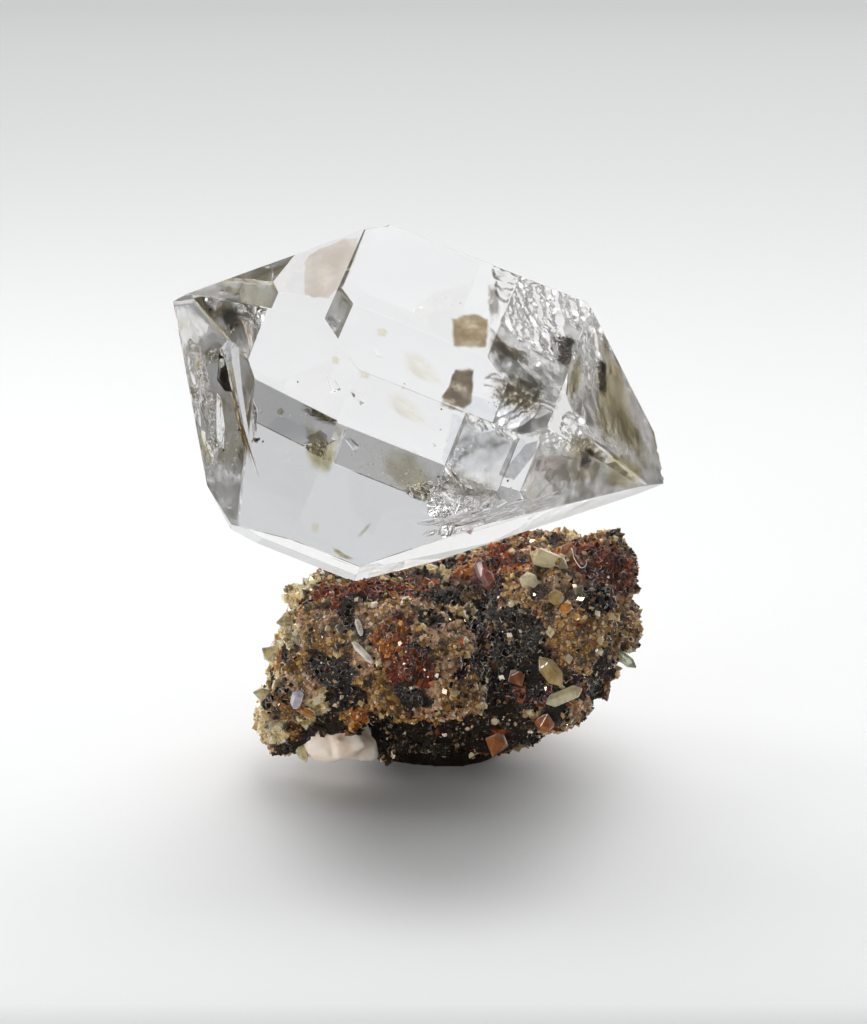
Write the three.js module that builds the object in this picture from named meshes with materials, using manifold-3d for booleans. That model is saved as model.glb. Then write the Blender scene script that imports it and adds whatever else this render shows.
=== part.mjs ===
// A clear, doubly terminated quartz crystal (a "herkimer diamond") perched on its drusy dolostone matrix.
// Millimetres, +Z up. The origin is under the middle of the part, on the surface that it stands on.
// Every place below is measured from the quartz crystal's centre.
import * as THREE from 'three';
import { ConvexGeometry } from 'three/addons/geometries/ConvexGeometry.js';
import { mergeVertices } from 'three/addons/utils/BufferGeometryUtils.js';
import Module from 'manifold-3d';

const wasm = await Module();
wasm.setup();
const { Manifold, Mesh: SolidMesh } = wasm;

const DEG = Math.PI / 180;
const SEAT_GAP = 0.3; // left between pieces that touch

// ---------- driving dimensions ----------

// Quartz: the axial ratio c/a sets how far the end faces lean from the long axis.
const QUARTZ_AXIAL_RATIO = 1.1;

// The long axis runs along X, then dips to the right and swings towards the front.
// Each list goes round the long axis in steps of 60 degrees, starting at the back and going over the top:
// back, top, upper front, lower front, bottom, lower back. The numbers are distances from the centre.
const CRYSTAL = {
  dip: 20.8,
  swing: -6.2,
  roll: 2.5,
  prism: [8.93, 8.16, 7.34, 8.9, 10.92, 7.89],
  leftEnd: [11.19, 9.66, 9.83, 9.31, 13.15, 9.78],
  rightEnd: [8.71, 10.66, 10.18, 10.64, 8.78, 8.92],
};

// The stone is a union of rounded blocks: centre, half sizes, turn about Z, and tilt about Y, which lowers
// the right-hand side.
const FOOT_DEPTH = 20.75; // from the crystal's centre down to the stone's flat foot
const BLOCKS = {
  ledge: { at: [-2.3, -7.0, -12.7], half: [5.5, 3.2, 2.8], turn: -4, tilt: 3 },
  ledgeFoot: { at: [-4.7, -6.9, -14.9], half: [3.9, 3.0, 2.1], turn: 0, tilt: 0 },
  ledgeRim: { at: [1.0, -7.6, -14.5], half: [2.8, 2.7, 1.7], turn: 0, tilt: -8 },
  toe: { at: [-7.5, -5.8, -17.0], half: [1.8, 2.5, 2.1], turn: 0, tilt: 10 },
  leftCheek: { at: [-6.4, -3.6, -14.1], half: [2.0, 3.0, 3.0], turn: 0, tilt: 22 },
  redBrow: { at: [-4.0, -3.9, -11.5], half: [2.7, 3.0, 1.7], turn: 0, tilt: 6 },
  core: { at: [1.2, -1.9, -16.9], half: [5.6, 4.9, 3.4], turn: 0, tilt: 0 },
  foot: { at: [1.0, -1.2, -19.4], half: [4.3, 4.2, 2.4], turn: 0, tilt: 0 },
  rightBlock: { at: [7.7, -3.2, -12.4], half: [3.9, 4.5, 3.9], turn: 0, tilt: 0 },
  rightBase: { at: [6.9, -3.3, -16.1], half: [3.1, 4.1, 2.5], turn: 0, tilt: -16 },
  redClump: { at: [10.5, -1.5, -9.9], half: [2.0, 2.7, 1.9], turn: 0, tilt: 0 },
  rightLobe: { at: [11.0, -2.6, -12.8], half: [1.7, 2.9, 1.5], turn: 0, tilt: 0 },
  midBase: { at: [4.6, -3.6, -17.3], half: [3.0, 3.6, 2.3], turn: 0, tilt: 0 },
  saddle: { at: [4.0, 1.1, -12.0], half: [6.5, 3.6, 2.7], turn: 0, tilt: -14 },
  cradle: { at: [-1.7, -0.3, -12.9], half: [4.4, 3.5, 2.3], turn: 0, tilt: 6 },
  back: { at: [0.7, 2.9, -16.5], half: [6.6, 3.2, 3.4], turn: 0, tilt: 0 },
};
const BLOCK_SQUARENESS = 2.8; // 2 is an ellipsoid, larger is boxier
const FACET = 1.3; // typical size of a face of the rough stone
const LUMP = { spacing: 1.9, height: 0.55 }; // the stone's knobs, and the smaller chips on them
const CHIP = { spacing: 0.8, height: 0.28 };

// The druse that coats the stone: dolomite rhombs, whose edges meet at one angle, and quartz points. Lift is
// how far a grain's centre stands out of the stone, in edges or radii.
const DOLOMITE_EDGE_ANGLE = 73.3;
const RHOMBS = { count: 72, least: 0.5, most: 1.0, lift: 0.15 };
const POINTS = { count: 30, least: 0.22, most: 0.42, lift: 0.9, length: 4.2, tip: 1.2 };
const GRAIN_LEAN = 0.9; // how far a grain may lean from upright: 0 is not at all
const DRUSE_CLEAR_OF_FOOT = 1.0;

// A lump of white dolomite under the ledge, with its own rhombs standing out all round. Sink is how far out
// the rhombs' centres lie, as a share of the lump's half sizes.
const WHITE_LUMP = { at: [-4.8, -6.8, -18.2], half: [1.9, 1.6, 1.2], turn: 10, tilt: 6 };
const WHITE_RHOMBS = { count: 8, edge: 1.3, sink: 0.85 };

// The crystals that stand out singly: centre, long axis, corner radius, length and height of each tip.
const SMALL_CRYSTALS = {
  pale_prism: {
    at: [7.4, -4.3, -8.4], along: [0.9, -0.3, -0.3], radius: 0.5, length: 2.2, tip: 0.45, colour: 0xd9cf9a,
  },
  pale_crystal: {
    at: [6.2, -5.9, -9.1], along: [0.5, -0.5, 0.7], radius: 0.5, length: 1.3, tip: 0.5, colour: 0xd8d2bb,
  },
  yellow_crystal: {
    at: [7.7, -6.7, -9.8], along: [0.6, -0.5, 0.6], radius: 0.42, length: 1.1, tip: 0.4, colour: 0xd8b551,
  },
  brown_crystal: {
    at: [7.4, -7.9, -13.8], along: [0.6, -0.4, -0.7], radius: 0.46, length: 2.0, tip: 0.6, colour: 0xa98b62,
  },
  clear_prism: {
    at: [8.2, -7.6, -15.4], along: [0.9, 0, 0.4], radius: 0.36, length: 2.1, tip: 0.4, colour: 0xcfd0c4,
  },
  clear_point: {
    at: [-6.7, -8.2, -18.6], along: [0.4, -0.5, -0.8], radius: 0.3, length: 1.2, tip: 0.4, colour: 0xd6d8d0,
  },
  green_prism: {
    at: [11.5, -4.8, -13.9], along: [0.8, -0.2, -0.6], radius: 0.3, length: 2.3, tip: 0.45, colour: 0xa5aa74,
  },
  orange_crystal_top: {
    at: [8.6, -2.5, -8.4], along: [0.6, -0.8, -0.2], radius: 0.45, length: 1.2, tip: 0.45, colour: 0xc07a2c,
  },
  orange_crystal_recess: {
    at: [5.5, -7.2, -14.4], along: [0.4, -0.8, -0.5], radius: 0.48, length: 1.3, tip: 0.6, colour: 0xb05e22,
  },
  orange_crystal_low: {
    at: [7.1, -7.8, -17.0], along: [0.2, -0.3, 0.9], radius: 0.5, length: 1.4, tip: 0.6, colour: 0xb86c2a,
  },
  orange_crystal_foot: {
    at: [4.4, -7.1, -18.4], along: [-0.3, -0.6, -0.8], radius: 0.62, length: 1.7, tip: 0.8, colour: 0xb9742f,
  },
  red_prism_left: {
    at: [3.6, -1.8, -9.8], along: [0.3, -0.6, -0.8], radius: 0.32, length: 1.6, tip: 0.4, colour: 0x8e4526,
  },
  red_prism_right: {
    at: [4.0, -3.4, -9.9], along: [0.4, -0.6, -0.7], radius: 0.36, length: 1.6, tip: 0.5, colour: 0x984c28,
  },
  olive_crystal_upper: {
    at: [-7.5, -6.7, -11.2], along: [-1, -0.2, -0.1], radius: 0.38, length: 1.3, tip: 0.45, colour: 0xa79a4e,
  },
  olive_crystal_middle: {
    at: [-8.5, -4.9, -13.9], along: [-0.8, -0.1, 0.6], radius: 0.45, length: 1.4, tip: 0.5, colour: 0xb0a252,
  },
  olive_crystal_lower: {
    at: [-8.9, -6.8, -15.6], along: [-0.9, -0.3, 0.3], radius: 0.36, length: 1.3, tip: 0.45, colour: 0xa0934c,
  },
};

const COLOURS = {
  quartz: 0xf2f4f4,
  stone: 0x6b5232,
  whiteDolomite: 0xd9d4c6,
};

// ---------- solids ----------

function toSolid(geometry) {
  const bare = geometry.index ? geometry.toNonIndexed() : geometry.clone();
  bare.deleteAttribute('normal');
  bare.deleteAttribute('uv');
  const merged = mergeVertices(bare, 1e-5);
  return new Manifold(new SolidMesh({
    numProp: 3,
    vertProperties: new Float32Array(merged.attributes.position.array),
    triVerts: new Uint32Array(merged.index.array),
  }));
}

function toGeometry(solid) {
  const { vertProperties, triVerts, numProp } = solid.getMesh();
  const positions = new Float32Array(triVerts.length * 3);
  triVerts.forEach((vertex, i) => {
    for (let k = 0; k < 3; k++) positions[i * 3 + k] = vertProperties[vertex * numProp + k];
  });
  const geometry = new THREE.BufferGeometry();
  geometry.setAttribute('position', new THREE.BufferAttribute(positions, 3));
  geometry.computeVertexNormals();
  return geometry;
}

// ---------- the quartz crystal ----------

const axisTurn = new THREE.Matrix4()
  .makeRotationZ(CRYSTAL.swing * DEG)
  .multiply(new THREE.Matrix4().makeRotationY(CRYSTAL.dip * DEG));

// Eighteen planes: six along the long axis and six leaning over each end.
function crystalPlanes(grow) {
  const lean = Math.PI / 2 - Math.atan((2 * QUARTZ_AXIAL_RATIO) / Math.sqrt(3));
  const planes = [];
  const addPlane = (azimuth, leanAlongAxis, distance) => {
    const normal = new THREE.Vector3(
      Math.sin(leanAlongAxis),
      Math.cos(leanAlongAxis) * Math.cos(azimuth),
      Math.cos(leanAlongAxis) * Math.sin(azimuth),
    ).transformDirection(axisTurn);
    planes.push(new THREE.Plane(normal, -(distance + grow)));
  };
  for (let i = 0; i < 6; i++) {
    const azimuth = (CRYSTAL.roll + 60 * i) * DEG;
    addPlane(azimuth, 0, CRYSTAL.prism[i]);
    addPlane(azimuth, -lean, CRYSTAL.leftEnd[i]);
    addPlane(azimuth, lean, CRYSTAL.rightEnd[i]);
  }
  return planes;
}

// The corners of a convex body: where three planes meet with no other plane cutting them off.
function cornersOf(planes) {
  const corners = [];
  const count = planes.length;
  for (let a = 0; a < count; a++) {
    for (let b = a + 1; b < count; b++) {
      for (let c = b + 1; c < count; c++) {
        const corner = meetingPoint(planes[a], planes[b], planes[c]);
        if (corner && planes.every((plane) => plane.distanceToPoint(corner) < 1e-6)) corners.push(corner);
      }
    }
  }
  return corners;
}

function meetingPoint(p, q, r) {
  const across = new THREE.Vector3().crossVectors(q.normal, r.normal);
  const spread = p.normal.dot(across);
  if (Math.abs(spread) < 1e-9) return null;
  return across.multiplyScalar(-p.constant)
    .addScaledVector(new THREE.Vector3().crossVectors(r.normal, p.normal), -q.constant)
    .addScaledVector(new THREE.Vector3().crossVectors(p.normal, q.normal), -r.constant)
    .divideScalar(spread);
}

const crystalGeometry = (grow) => new ConvexGeometry(cornersOf(crystalPlanes(grow)));

// ---------- the stone ----------

function seededRandom(seed) {
  let state = seed >>> 0;
  return () => {
    state = (state + 0x6d2b79f5) >>> 0;
    let mixed = Math.imul(state ^ (state >>> 15), 1 | state);
    mixed = (mixed + Math.imul(mixed ^ (mixed >>> 7), 61 | mixed)) ^ mixed;
    return ((mixed ^ (mixed >>> 14)) >>> 0) / 4294967296;
  };
}

function latticeValue(x, y, z) {
  let hash = Math.imul(x, 374761393) ^ Math.imul(y, 668265263) ^ Math.imul(z, 2147483647);
  hash = Math.imul(hash ^ (hash >>> 13), 1274126177);
  return ((hash ^ (hash >>> 16)) >>> 0) / 4294967296;
}

// Smooth noise between -1 and 1, with knobs about one unit apart.
function noise(x, y, z) {
  const [ix, iy, iz] = [x, y, z].map(Math.floor);
  const ease = (t) => t * t * (3 - 2 * t);
  const [fx, fy, fz] = [ease(x - ix), ease(y - iy), ease(z - iz)];
  let sum = 0;
  for (let k = 0; k < 8; k++) {
    const [dx, dy, dz] = [k & 1, (k >> 1) & 1, k >> 2];
    const weight = (dx ? fx : 1 - fx) * (dy ? fy : 1 - fy) * (dz ? fz : 1 - fz);
    sum += weight * latticeValue(ix + dx, iy + dy, iz + dz);
  }
  return 2 * sum - 1;
}

const knobs = (point) => [LUMP, CHIP].reduce((sum, { spacing, height }) => (
  sum + height * noise(point.x / spacing, point.y / spacing, point.z / spacing)
), 0);

function block({ at, half, turn, tilt }) {
  const detail = Math.round((half[0] + half[1] + half[2]) / 3 / FACET);
  const geometry = mergeVertices(bareIcosahedron(detail), 1e-5);
  const place = new THREE.Matrix4().makeRotationFromEuler(new THREE.Euler(0, tilt * DEG, turn * DEG))
    .setPosition(...at);
  const corners = geometry.attributes.position;
  const point = new THREE.Vector3();
  for (let i = 0; i < corners.count; i++) {
    point.fromBufferAttribute(corners, i);
    const reach = ['x', 'y', 'z'].reduce((sum, k) => sum + Math.abs(point[k]) ** BLOCK_SQUARENESS, 0);
    point.multiplyScalar(reach ** (-1 / BLOCK_SQUARENESS));
    point.multiply(new THREE.Vector3(...half)).applyMatrix4(place);
    const outward = point.clone().sub(new THREE.Vector3(...at)).normalize();
    point.addScaledVector(outward, knobs(point));
    corners.setXYZ(i, point.x, point.y, point.z);
  }
  return toSolid(geometry);
}

function bareIcosahedron(detail) {
  const geometry = new THREE.IcosahedronGeometry(1, detail);
  geometry.deleteAttribute('normal');
  geometry.deleteAttribute('uv');
  return geometry;
}

// A dolomite rhomb: a cube squeezed along one body diagonal.
function rhombGeometry(edge) {
  const cosine = Math.cos(DOLOMITE_EDGE_ANGLE * DEG);
  const rise = Math.sqrt((1 + 2 * cosine) / 3);
  const spread = Math.sqrt(1 - rise * rise);
  const edges = [0, 1, 2].map((k) => new THREE.Vector3(
    spread * Math.cos(120 * k * DEG), spread * Math.sin(120 * k * DEG), rise,
  ).multiplyScalar(edge));
  const corners = [];
  for (let k = 0; k < 8; k++) {
    const corner = new THREE.Vector3();
    edges.forEach((side, j) => corner.addScaledVector(side, ((k >> j) & 1) - 0.5));
    corners.push(corner);
  }
  return new ConvexGeometry(corners);
}

// A six-sided prism along Z with a pointed tip at each end.
function prismGeometry(radius, length, tip) {
  const corners = [new THREE.Vector3(0, 0, length / 2), new THREE.Vector3(0, 0, -length / 2)];
  for (let k = 0; k < 6; k++) {
    const [x, y] = [radius * Math.cos(60 * k * DEG), radius * Math.sin(60 * k * DEG)];
    corners.push(new THREE.Vector3(x, y, length / 2 - tip), new THREE.Vector3(x, y, tip - length / 2));
  }
  return new ConvexGeometry(corners);
}

// One of the single crystals, or the socket around it when it is grown by a gap on every face.
function smallCrystalGeometry({ at, along, radius, length, tip }, grow) {
  const flatToCorner = 1 / Math.cos(30 * DEG);
  const apexShift = grow / Math.sin(Math.atan2(radius / flatToCorner, tip));
  const wide = radius + grow * flatToCorner;
  const geometry = prismGeometry(wide, length + 2 * apexShift, (tip * wide) / radius);
  const turn = new THREE.Quaternion()
    .setFromUnitVectors(new THREE.Vector3(0, 0, 1), new THREE.Vector3(...along).normalize());
  return geometry.applyQuaternion(turn).translate(...at);
}

// Picks a point on the solid's skin, with its outward direction, at random by area.
function skinSampler(solid, random) {
  const { vertProperties: v, triVerts: t } = solid.getMesh();
  const corner = (i) => new THREE.Vector3(v[3 * t[i]], v[3 * t[i] + 1], v[3 * t[i] + 2]);
  const triangles = [];
  let area = 0;
  for (let i = 0; i < t.length; i += 3) {
    const triangle = new THREE.Triangle(corner(i), corner(i + 1), corner(i + 2));
    area += triangle.getArea();
    triangles.push({ triangle, area });
  }
  return () => {
    const aim = random() * area;
    let [low, high] = [0, triangles.length - 1];
    while (low < high) {
      const middle = (low + high) >> 1;
      if (triangles[middle].area < aim) low = middle + 1;
      else high = middle;
    }
    const { triangle } = triangles[low];
    let [s, r] = [random(), random()];
    if (s + r > 1) [s, r] = [1 - s, 1 - r];
    const point = triangle.a.clone()
      .addScaledVector(new THREE.Vector3().subVectors(triangle.b, triangle.a), s)
      .addScaledVector(new THREE.Vector3().subVectors(triangle.c, triangle.a), r);
    return { point, normal: triangle.getNormal(new THREE.Vector3()) };
  };
}

function druse(stone, floor) {
  const random = seededRandom(11);
  const pick = skinSampler(stone, random);
  const up = new THREE.Vector3(0, 0, 1);
  const grains = [];
  while (grains.length < RHOMBS.count + POINTS.count) {
    const { point, normal } = pick();
    if (point.z < floor + DRUSE_CLEAR_OF_FOOT) continue;
    const kind = grains.length < RHOMBS.count ? RHOMBS : POINTS;
    const aside = new THREE.Vector3(random() - 0.5, random() - 0.5, random() - 0.5);
    const outward = normal.clone().addScaledVector(aside, GRAIN_LEAN).normalize();
    const turn = new THREE.Quaternion().setFromUnitVectors(up, outward)
      .multiply(new THREE.Quaternion().setFromAxisAngle(up, random() * 2 * Math.PI));
    const size = kind.least + (kind.most - kind.least) * random() ** 2; // most grains are small
    const geometry = kind === RHOMBS
      ? rhombGeometry(size)
      : prismGeometry(size, POINTS.length * size, POINTS.tip * size);
    const seat = point.addScaledVector(normal, kind.lift * size);
    geometry.applyMatrix4(new THREE.Matrix4().compose(seat, turn, new THREE.Vector3(1, 1, 1)));
    grains.push(toSolid(geometry));
  }
  return Manifold.union(grains);
}

// The largest body of a solid, without its crumbs and closed bubbles.
function soundBody(solid) {
  return solid.decompose().reduce((largest, body) => (body.volume() > largest.volume() ? body : largest));
}

function flatFoot(floor) {
  const below = new THREE.BoxGeometry(60, 60, 20);
  below.translate(0, 0, floor - 10);
  return toSolid(below);
}

function stoneSolid() {
  const floor = -FOOT_DEPTH;
  const seat = toSolid(crystalGeometry(SEAT_GAP));
  const rock = Manifold.union(Object.values(BLOCKS).map(block));
  const sockets = Object.values(SMALL_CRYSTALS).map((kind) => toSolid(smallCrystalGeometry(kind, SEAT_GAP)));
  return soundBody(rock.add(druse(rock.subtract(seat), floor))
    .subtract(Manifold.union([seat, whiteDolomite(SEAT_GAP), flatFoot(floor), ...sockets])));
}

// The white lump, or the hollow around it when it is grown by a gap on every face.
function whiteDolomite(grow) {
  const random = seededRandom(5);
  const { at, half } = WHITE_LUMP;
  const lump = block({ ...WHITE_LUMP, half: half.map((size) => size + grow) });
  const cosine = Math.cos(DOLOMITE_EDGE_ANGLE * DEG);
  const faceSpacing = Math.sqrt((1 - 3 * cosine ** 2 + 2 * cosine ** 3) / (1 - cosine ** 2));
  const edge = WHITE_RHOMBS.edge + (2 * grow) / faceSpacing;
  const rhombs = Array.from({ length: WHITE_RHOMBS.count }, () => {
    const seat = new THREE.Vector3(random() - 0.5, random() - 0.5, random() - 0.5)
      .setLength(WHITE_RHOMBS.sink).multiply(new THREE.Vector3(...half)).add(new THREE.Vector3(...at));
    const turn = new THREE.Euler(random() * Math.PI, random() * Math.PI, random() * Math.PI);
    const place = new THREE.Matrix4().makeRotationFromEuler(turn).setPosition(seat);
    return toSolid(rhombGeometry(edge).applyMatrix4(place));
  });
  return Manifold.union([lump, ...rhombs]);
}

// ---------- assembly ----------

const part = new THREE.Group();

function addPiece(name, geometry, colour, roughness) {
  const material = new THREE.MeshStandardMaterial({ color: colour, roughness, metalness: 0 });
  const mesh = new THREE.Mesh(geometry, material);
  mesh.name = name;
  part.add(mesh);
}

addPiece('quartz_crystal', crystalGeometry(0), COLOURS.quartz, 0.02);
addPiece('matrix_stone', toGeometry(stoneSolid()), COLOURS.stone, 0.75);
addPiece('white_dolomite', toGeometry(whiteDolomite(0)), COLOURS.whiteDolomite, 0.45);
Object.entries(SMALL_CRYSTALS).forEach(([name, kind]) => {
  addPiece(name, smallCrystalGeometry(kind, 0), kind.colour, 0.2);
});

// Everything moves together, so that the part stands on the origin's plane with its middle above the origin.
const box = new THREE.Box3().setFromObject(part);
const middle = box.getCenter(new THREE.Vector3());
part.children.forEach((mesh) => mesh.position.set(-middle.x, -middle.y, -box.min.z));

export default part;
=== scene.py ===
"""Looks for a herkimer diamond: a clear, doubly terminated quartz crystal perched on its drusy dolostone.

Blender's lengths are metres, in the frame of the solids. Places on the specimen are written in millimetres
from the quartz crystal's centre, with +X to the right, +Y to the back and +Z up.
"""

import math
import random

import bmesh
import bpy
from bpy.props import FloatProperty, FloatVectorProperty, IntProperty, PointerProperty
from bpy.types import Operator, Panel, PropertyGroup
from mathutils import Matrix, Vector, noise
from mathutils.bvhtree import BVHTree


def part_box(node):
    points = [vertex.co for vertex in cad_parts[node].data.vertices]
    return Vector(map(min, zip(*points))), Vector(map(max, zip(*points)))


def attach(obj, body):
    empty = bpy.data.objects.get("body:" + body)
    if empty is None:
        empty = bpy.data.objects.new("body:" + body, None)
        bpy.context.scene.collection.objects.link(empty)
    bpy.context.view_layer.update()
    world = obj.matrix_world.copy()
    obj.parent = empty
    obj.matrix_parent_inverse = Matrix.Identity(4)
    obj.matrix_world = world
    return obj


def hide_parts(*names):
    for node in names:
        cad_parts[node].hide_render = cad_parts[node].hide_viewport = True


bl_info = {
    "name": "Herkimer Diamond on Matrix",
    "version": (1, 0, 0),
    "blender": (4, 5, 0),
    "location": "3D View > Sidebar > Herkimer",
    "description": "Finishes a herkimer diamond, its drusy stone and its small crystals around their solids",
    "category": "Object",
}

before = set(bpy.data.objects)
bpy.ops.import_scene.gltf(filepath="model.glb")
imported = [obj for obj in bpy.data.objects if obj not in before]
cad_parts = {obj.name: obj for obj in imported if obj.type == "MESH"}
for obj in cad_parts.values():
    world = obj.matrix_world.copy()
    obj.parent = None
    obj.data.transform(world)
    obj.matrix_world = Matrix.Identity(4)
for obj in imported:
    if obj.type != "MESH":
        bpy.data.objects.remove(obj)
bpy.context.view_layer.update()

MM = 0.001

VIEW_ELEVATION = math.radians(15)
VIEW_DISTANCE = 174.0  # mm from the crystal's centre

# The crystal's centre, from the lowest corner of its solid's box.
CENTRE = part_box("quartz_crystal")[0] + Vector((14.386, 9.694, 10.38)) * MM


def at(x, y, z):
    """A place on the specimen, from millimetres off the crystal's centre."""
    return CENTRE + Vector((x, y, z)) * MM


# ---------- meshes ----------

def new_piece(name, mesh, material=None):
    """An object at the origin that holds the mesh."""
    piece = bpy.data.objects.new(name, mesh)
    bpy.context.scene.collection.objects.link(piece)
    if material:
        mesh.materials.clear()
        mesh.materials.append(material)
    return piece


def mesh_from(name, vertices, faces):
    mesh = bpy.data.meshes.new(name)
    mesh.from_pydata(vertices, [], faces)
    mesh.update()
    return mesh


def merged_solid(node):
    """A bmesh of a solid's triangles, with their shared corners merged."""
    body = bmesh.new()
    body.from_mesh(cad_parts[node].data)
    bmesh.ops.remove_doubles(body, verts=body.verts, dist=1e-7)
    return body


def baked(piece):
    """Replaces the piece's mesh by what its modifiers make of it, and removes them."""
    graph = bpy.context.evaluated_depsgraph_get()
    made = bpy.data.meshes.new_from_object(piece.evaluated_get(graph))
    piece.modifiers.clear()
    old, piece.data = piece.data, made
    made.name = old.name
    bpy.data.meshes.remove(old)
    return piece


def octaves(point, size, count=3, gain=0.5):
    """Smooth noise of about -1 to 1 with the given feature size, in the point's own unit."""
    total, weight, reach = 0.0, 1.0, 0.0
    for k in range(count):
        total += weight * noise.noise(point * (2 ** k / size))
        reach += weight
        weight *= gain
    return total / reach


def crumpled(point, size, count=4):
    """Ridged noise of 0 to 1: sharp creases between rounded hollows."""
    total, weight, reach = 0.0, 1.0, 0.0
    for k in range(count):
        total += weight * (1 - abs(noise.noise(point * (2 ** k / size))) * 2)
        reach += weight
        weight *= 0.5
    return total / reach


def smooth_step(low, high, value):
    t = min(max((value - low) / (high - low), 0.0), 1.0)
    return t * t * (3 - 2 * t)


# ---------- materials ----------

def add_node(tree, kind, inputs=None, **settings):
    """Adds a node. An input's value is a plain value, or a socket to join to it."""
    node = tree.nodes.new(kind)
    for key, value in settings.items():
        setattr(node, key, value)
    for key, value in (inputs or {}).items():
        if isinstance(value, bpy.types.NodeSocket):
            tree.links.new(value, node.inputs[key])
        else:
            node.inputs[key].default_value = value
    return node


def new_material(name, **values):
    """A material with one Principled shader, whose sockets take the given values."""
    material = bpy.data.materials.new(name)
    material.use_nodes = True
    shader = material.node_tree.nodes["Principled BSDF"]
    for key, value in values.items():
        shader.inputs[key.replace("_", " ")].default_value = value
    return material, material.node_tree, shader


def rgba(red, green, blue):
    """A colour from 0-255 screen values."""
    linear = [((v / 255 + 0.055) / 1.055) ** 2.4 if v > 10 else v / 255 / 12.92 for v in (red, green, blue)]
    return (*linear, 1.0)


def quartz_material(looks):
    """Water-clear quartz, hazed where its "frost" attribute is high and rusty where its "iron" is."""
    material, tree, shader = new_material("rock_crystal", Transmission_Weight=1.0, IOR=looks.ior)
    where = add_node(tree, "ShaderNodeTexCoord")
    frost = add_node(tree, "ShaderNodeAttribute", attribute_name="frost")
    patches = add_node(tree, "ShaderNodeTexNoise", {
        "Vector": where.outputs["Object"], "Scale": 1.1 / MM, "Detail": 3.0, "Roughness": 0.6,
    })
    spread = add_node(tree, "ShaderNodeMapRange", {
        "Value": patches.outputs["Fac"], "From Min": 0.36, "From Max": 0.62, "To Min": 0.2, "To Max": 1.0,
    })
    haze = add_node(tree, "ShaderNodeMath", {
        0: frost.outputs["Fac"], 1: spread.outputs["Result"],
    }, operation="MULTIPLY")
    strength = add_node(tree, "ShaderNodeMath", {0: haze.outputs[0], 1: looks.frost}, operation="MULTIPLY")
    tree.links.new(strength.outputs[0], shader.inputs["Roughness"])
    iron = add_node(tree, "ShaderNodeAttribute", attribute_name="iron")
    rust = add_node(tree, "ShaderNodeMath", {
        0: iron.outputs["Fac"], 1: spread.outputs["Result"],
    }, operation="MULTIPLY")
    tint = add_node(tree, "ShaderNodeMix", {
        0: rust.outputs[0], 6: (0.89, 0.89, 0.895, 1.0), 7: (0.30, 0.24, 0.15, 1.0),
    }, data_type="RGBA")
    tree.links.new(tint.outputs[2], shader.inputs["Base Color"])
    return material


# ---------- the quartz crystal ----------

EDGE_WEAR = 0.03  # mm, the narrow worn band along the crystal's edges

# Rough spots on the crystal's back, etched into ragged steps under fine furrows. Each face has its outward
# direction, the step of the grid that carries the relief, its steps (the way that they climb, their spacing and
# slope), its furrows (their size, depth and how drawn out they are), the spots that they fill, how high the rest
# swells, how hazy the spots and the rest are, and how rusty the furrows are. All in mm.
ROUGH_FACES = {
    "back": {
        "out": (0.123, 0.992, 0.041), "step": 0.11, "climb": (-0.3, 0.0, -0.9), "stair": (1.5, 0.16),
        "furrows": (0.7, 0.05, 1.6), "spots": (((4.3, 8.6, 3.0), 1.2), ((4.4, 8.6, 1.4), 1.2)),
        "rest": 0.0, "haze": (0.22, 0.0), "iron": 0.8,
    },
    "right_back": {
        "out": (0.672, 0.717, -0.188), "step": 0.075, "climb": (-0.70, 0.53, -0.49), "stair": (0.8, 0.46),
        "furrows": (0.26, 0.055, 1.8),
        "spots": (((5.6, 6.9, 1.6), 3.0), ((4.5, 7.6, -0.2), 1.8), ((6.4, 6.0, -0.6), 1.8),
                  ((8.6, 4.8, 2.6), 1.8)),
        "rest": 0.14, "haze": (0.27, 0.26), "iron": 1.0,
    },
    "right_under_back": {
        "out": (0.387, 0.383, -0.839), "step": 0.12, "climb": (-0.4, 0.9, 0.2), "stair": (0.8, 0.40),
        "furrows": (0.5, 0.09, 1.6), "spots": (((3.6, 6.0, -6.2), 2.2),), "rest": 0.10, "haze": (0.26, 0.18),
        "iron": 0.8,
    },
    "middle_under_back": {
        "out": (-0.240, 0.567, -0.788), "step": 0.12, "climb": (0.3, 0.8, 0.5), "stair": (0.6, 0.35),
        "furrows": (0.5, 0.09, 1.6), "spots": (((2.9, 7.3, -5.6), 0.9),), "rest": 0.0, "haze": (0.26, 0.0),
        "iron": 0.8,
    },
    "left_under_back": {
        "out": (-0.763, 0.508, -0.400), "step": 0.12, "climb": (0.59, 0.80, -0.10), "stair": (1.1, 0.55),
        "furrows": (0.5, 0.07, 3.0),
        "spots": (((-12.4, 1.6, 1.5), 1.6), ((-11.7, 0.9, -1.6), 2.2), ((-10.8, 3.0, -4.4), 1.6)), "rest": 0.05,
        "haze": (0.20, 0.14), "iron": 0.3,
    },
}
ROUGH_MARGIN = 0.25  # mm over which the creases fade towards a face's edges

# Pits etched into the front faces: corners in pixels, depth in mm, and the share of its floor.
ETCH_PITS = (
    (((367.5, 344), (375, 346.5), (386, 359), (377.5, 357)), 0.22, 0.05),
    (((325, 375), (332.5, 377), (341.5, 390), (331, 392.5)), 0.07, 0.72),
    (((349, 391), (357, 390), (369, 401), (360, 406)), 0.10, 0.45),
)
# Round pinpricks on the front faces: pixel or place in mm, and radius in mm.
PINPRICKS = (
    ((435, 300), 0.08), ((446, 298), 0.06), ((452, 305), 0.09), ((460, 303), 0.07), ((436, 421), 0.06),
    ((440, 430), 0.10), ((434, 445), 0.13), ((457, 449), 0.10), ((447, 441), 0.07), ((463, 450), 0.12),
    ((1.9, -9.2, -0.9), 0.08), ((0.5, -9.1, 0.5), 0.05),
)
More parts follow.
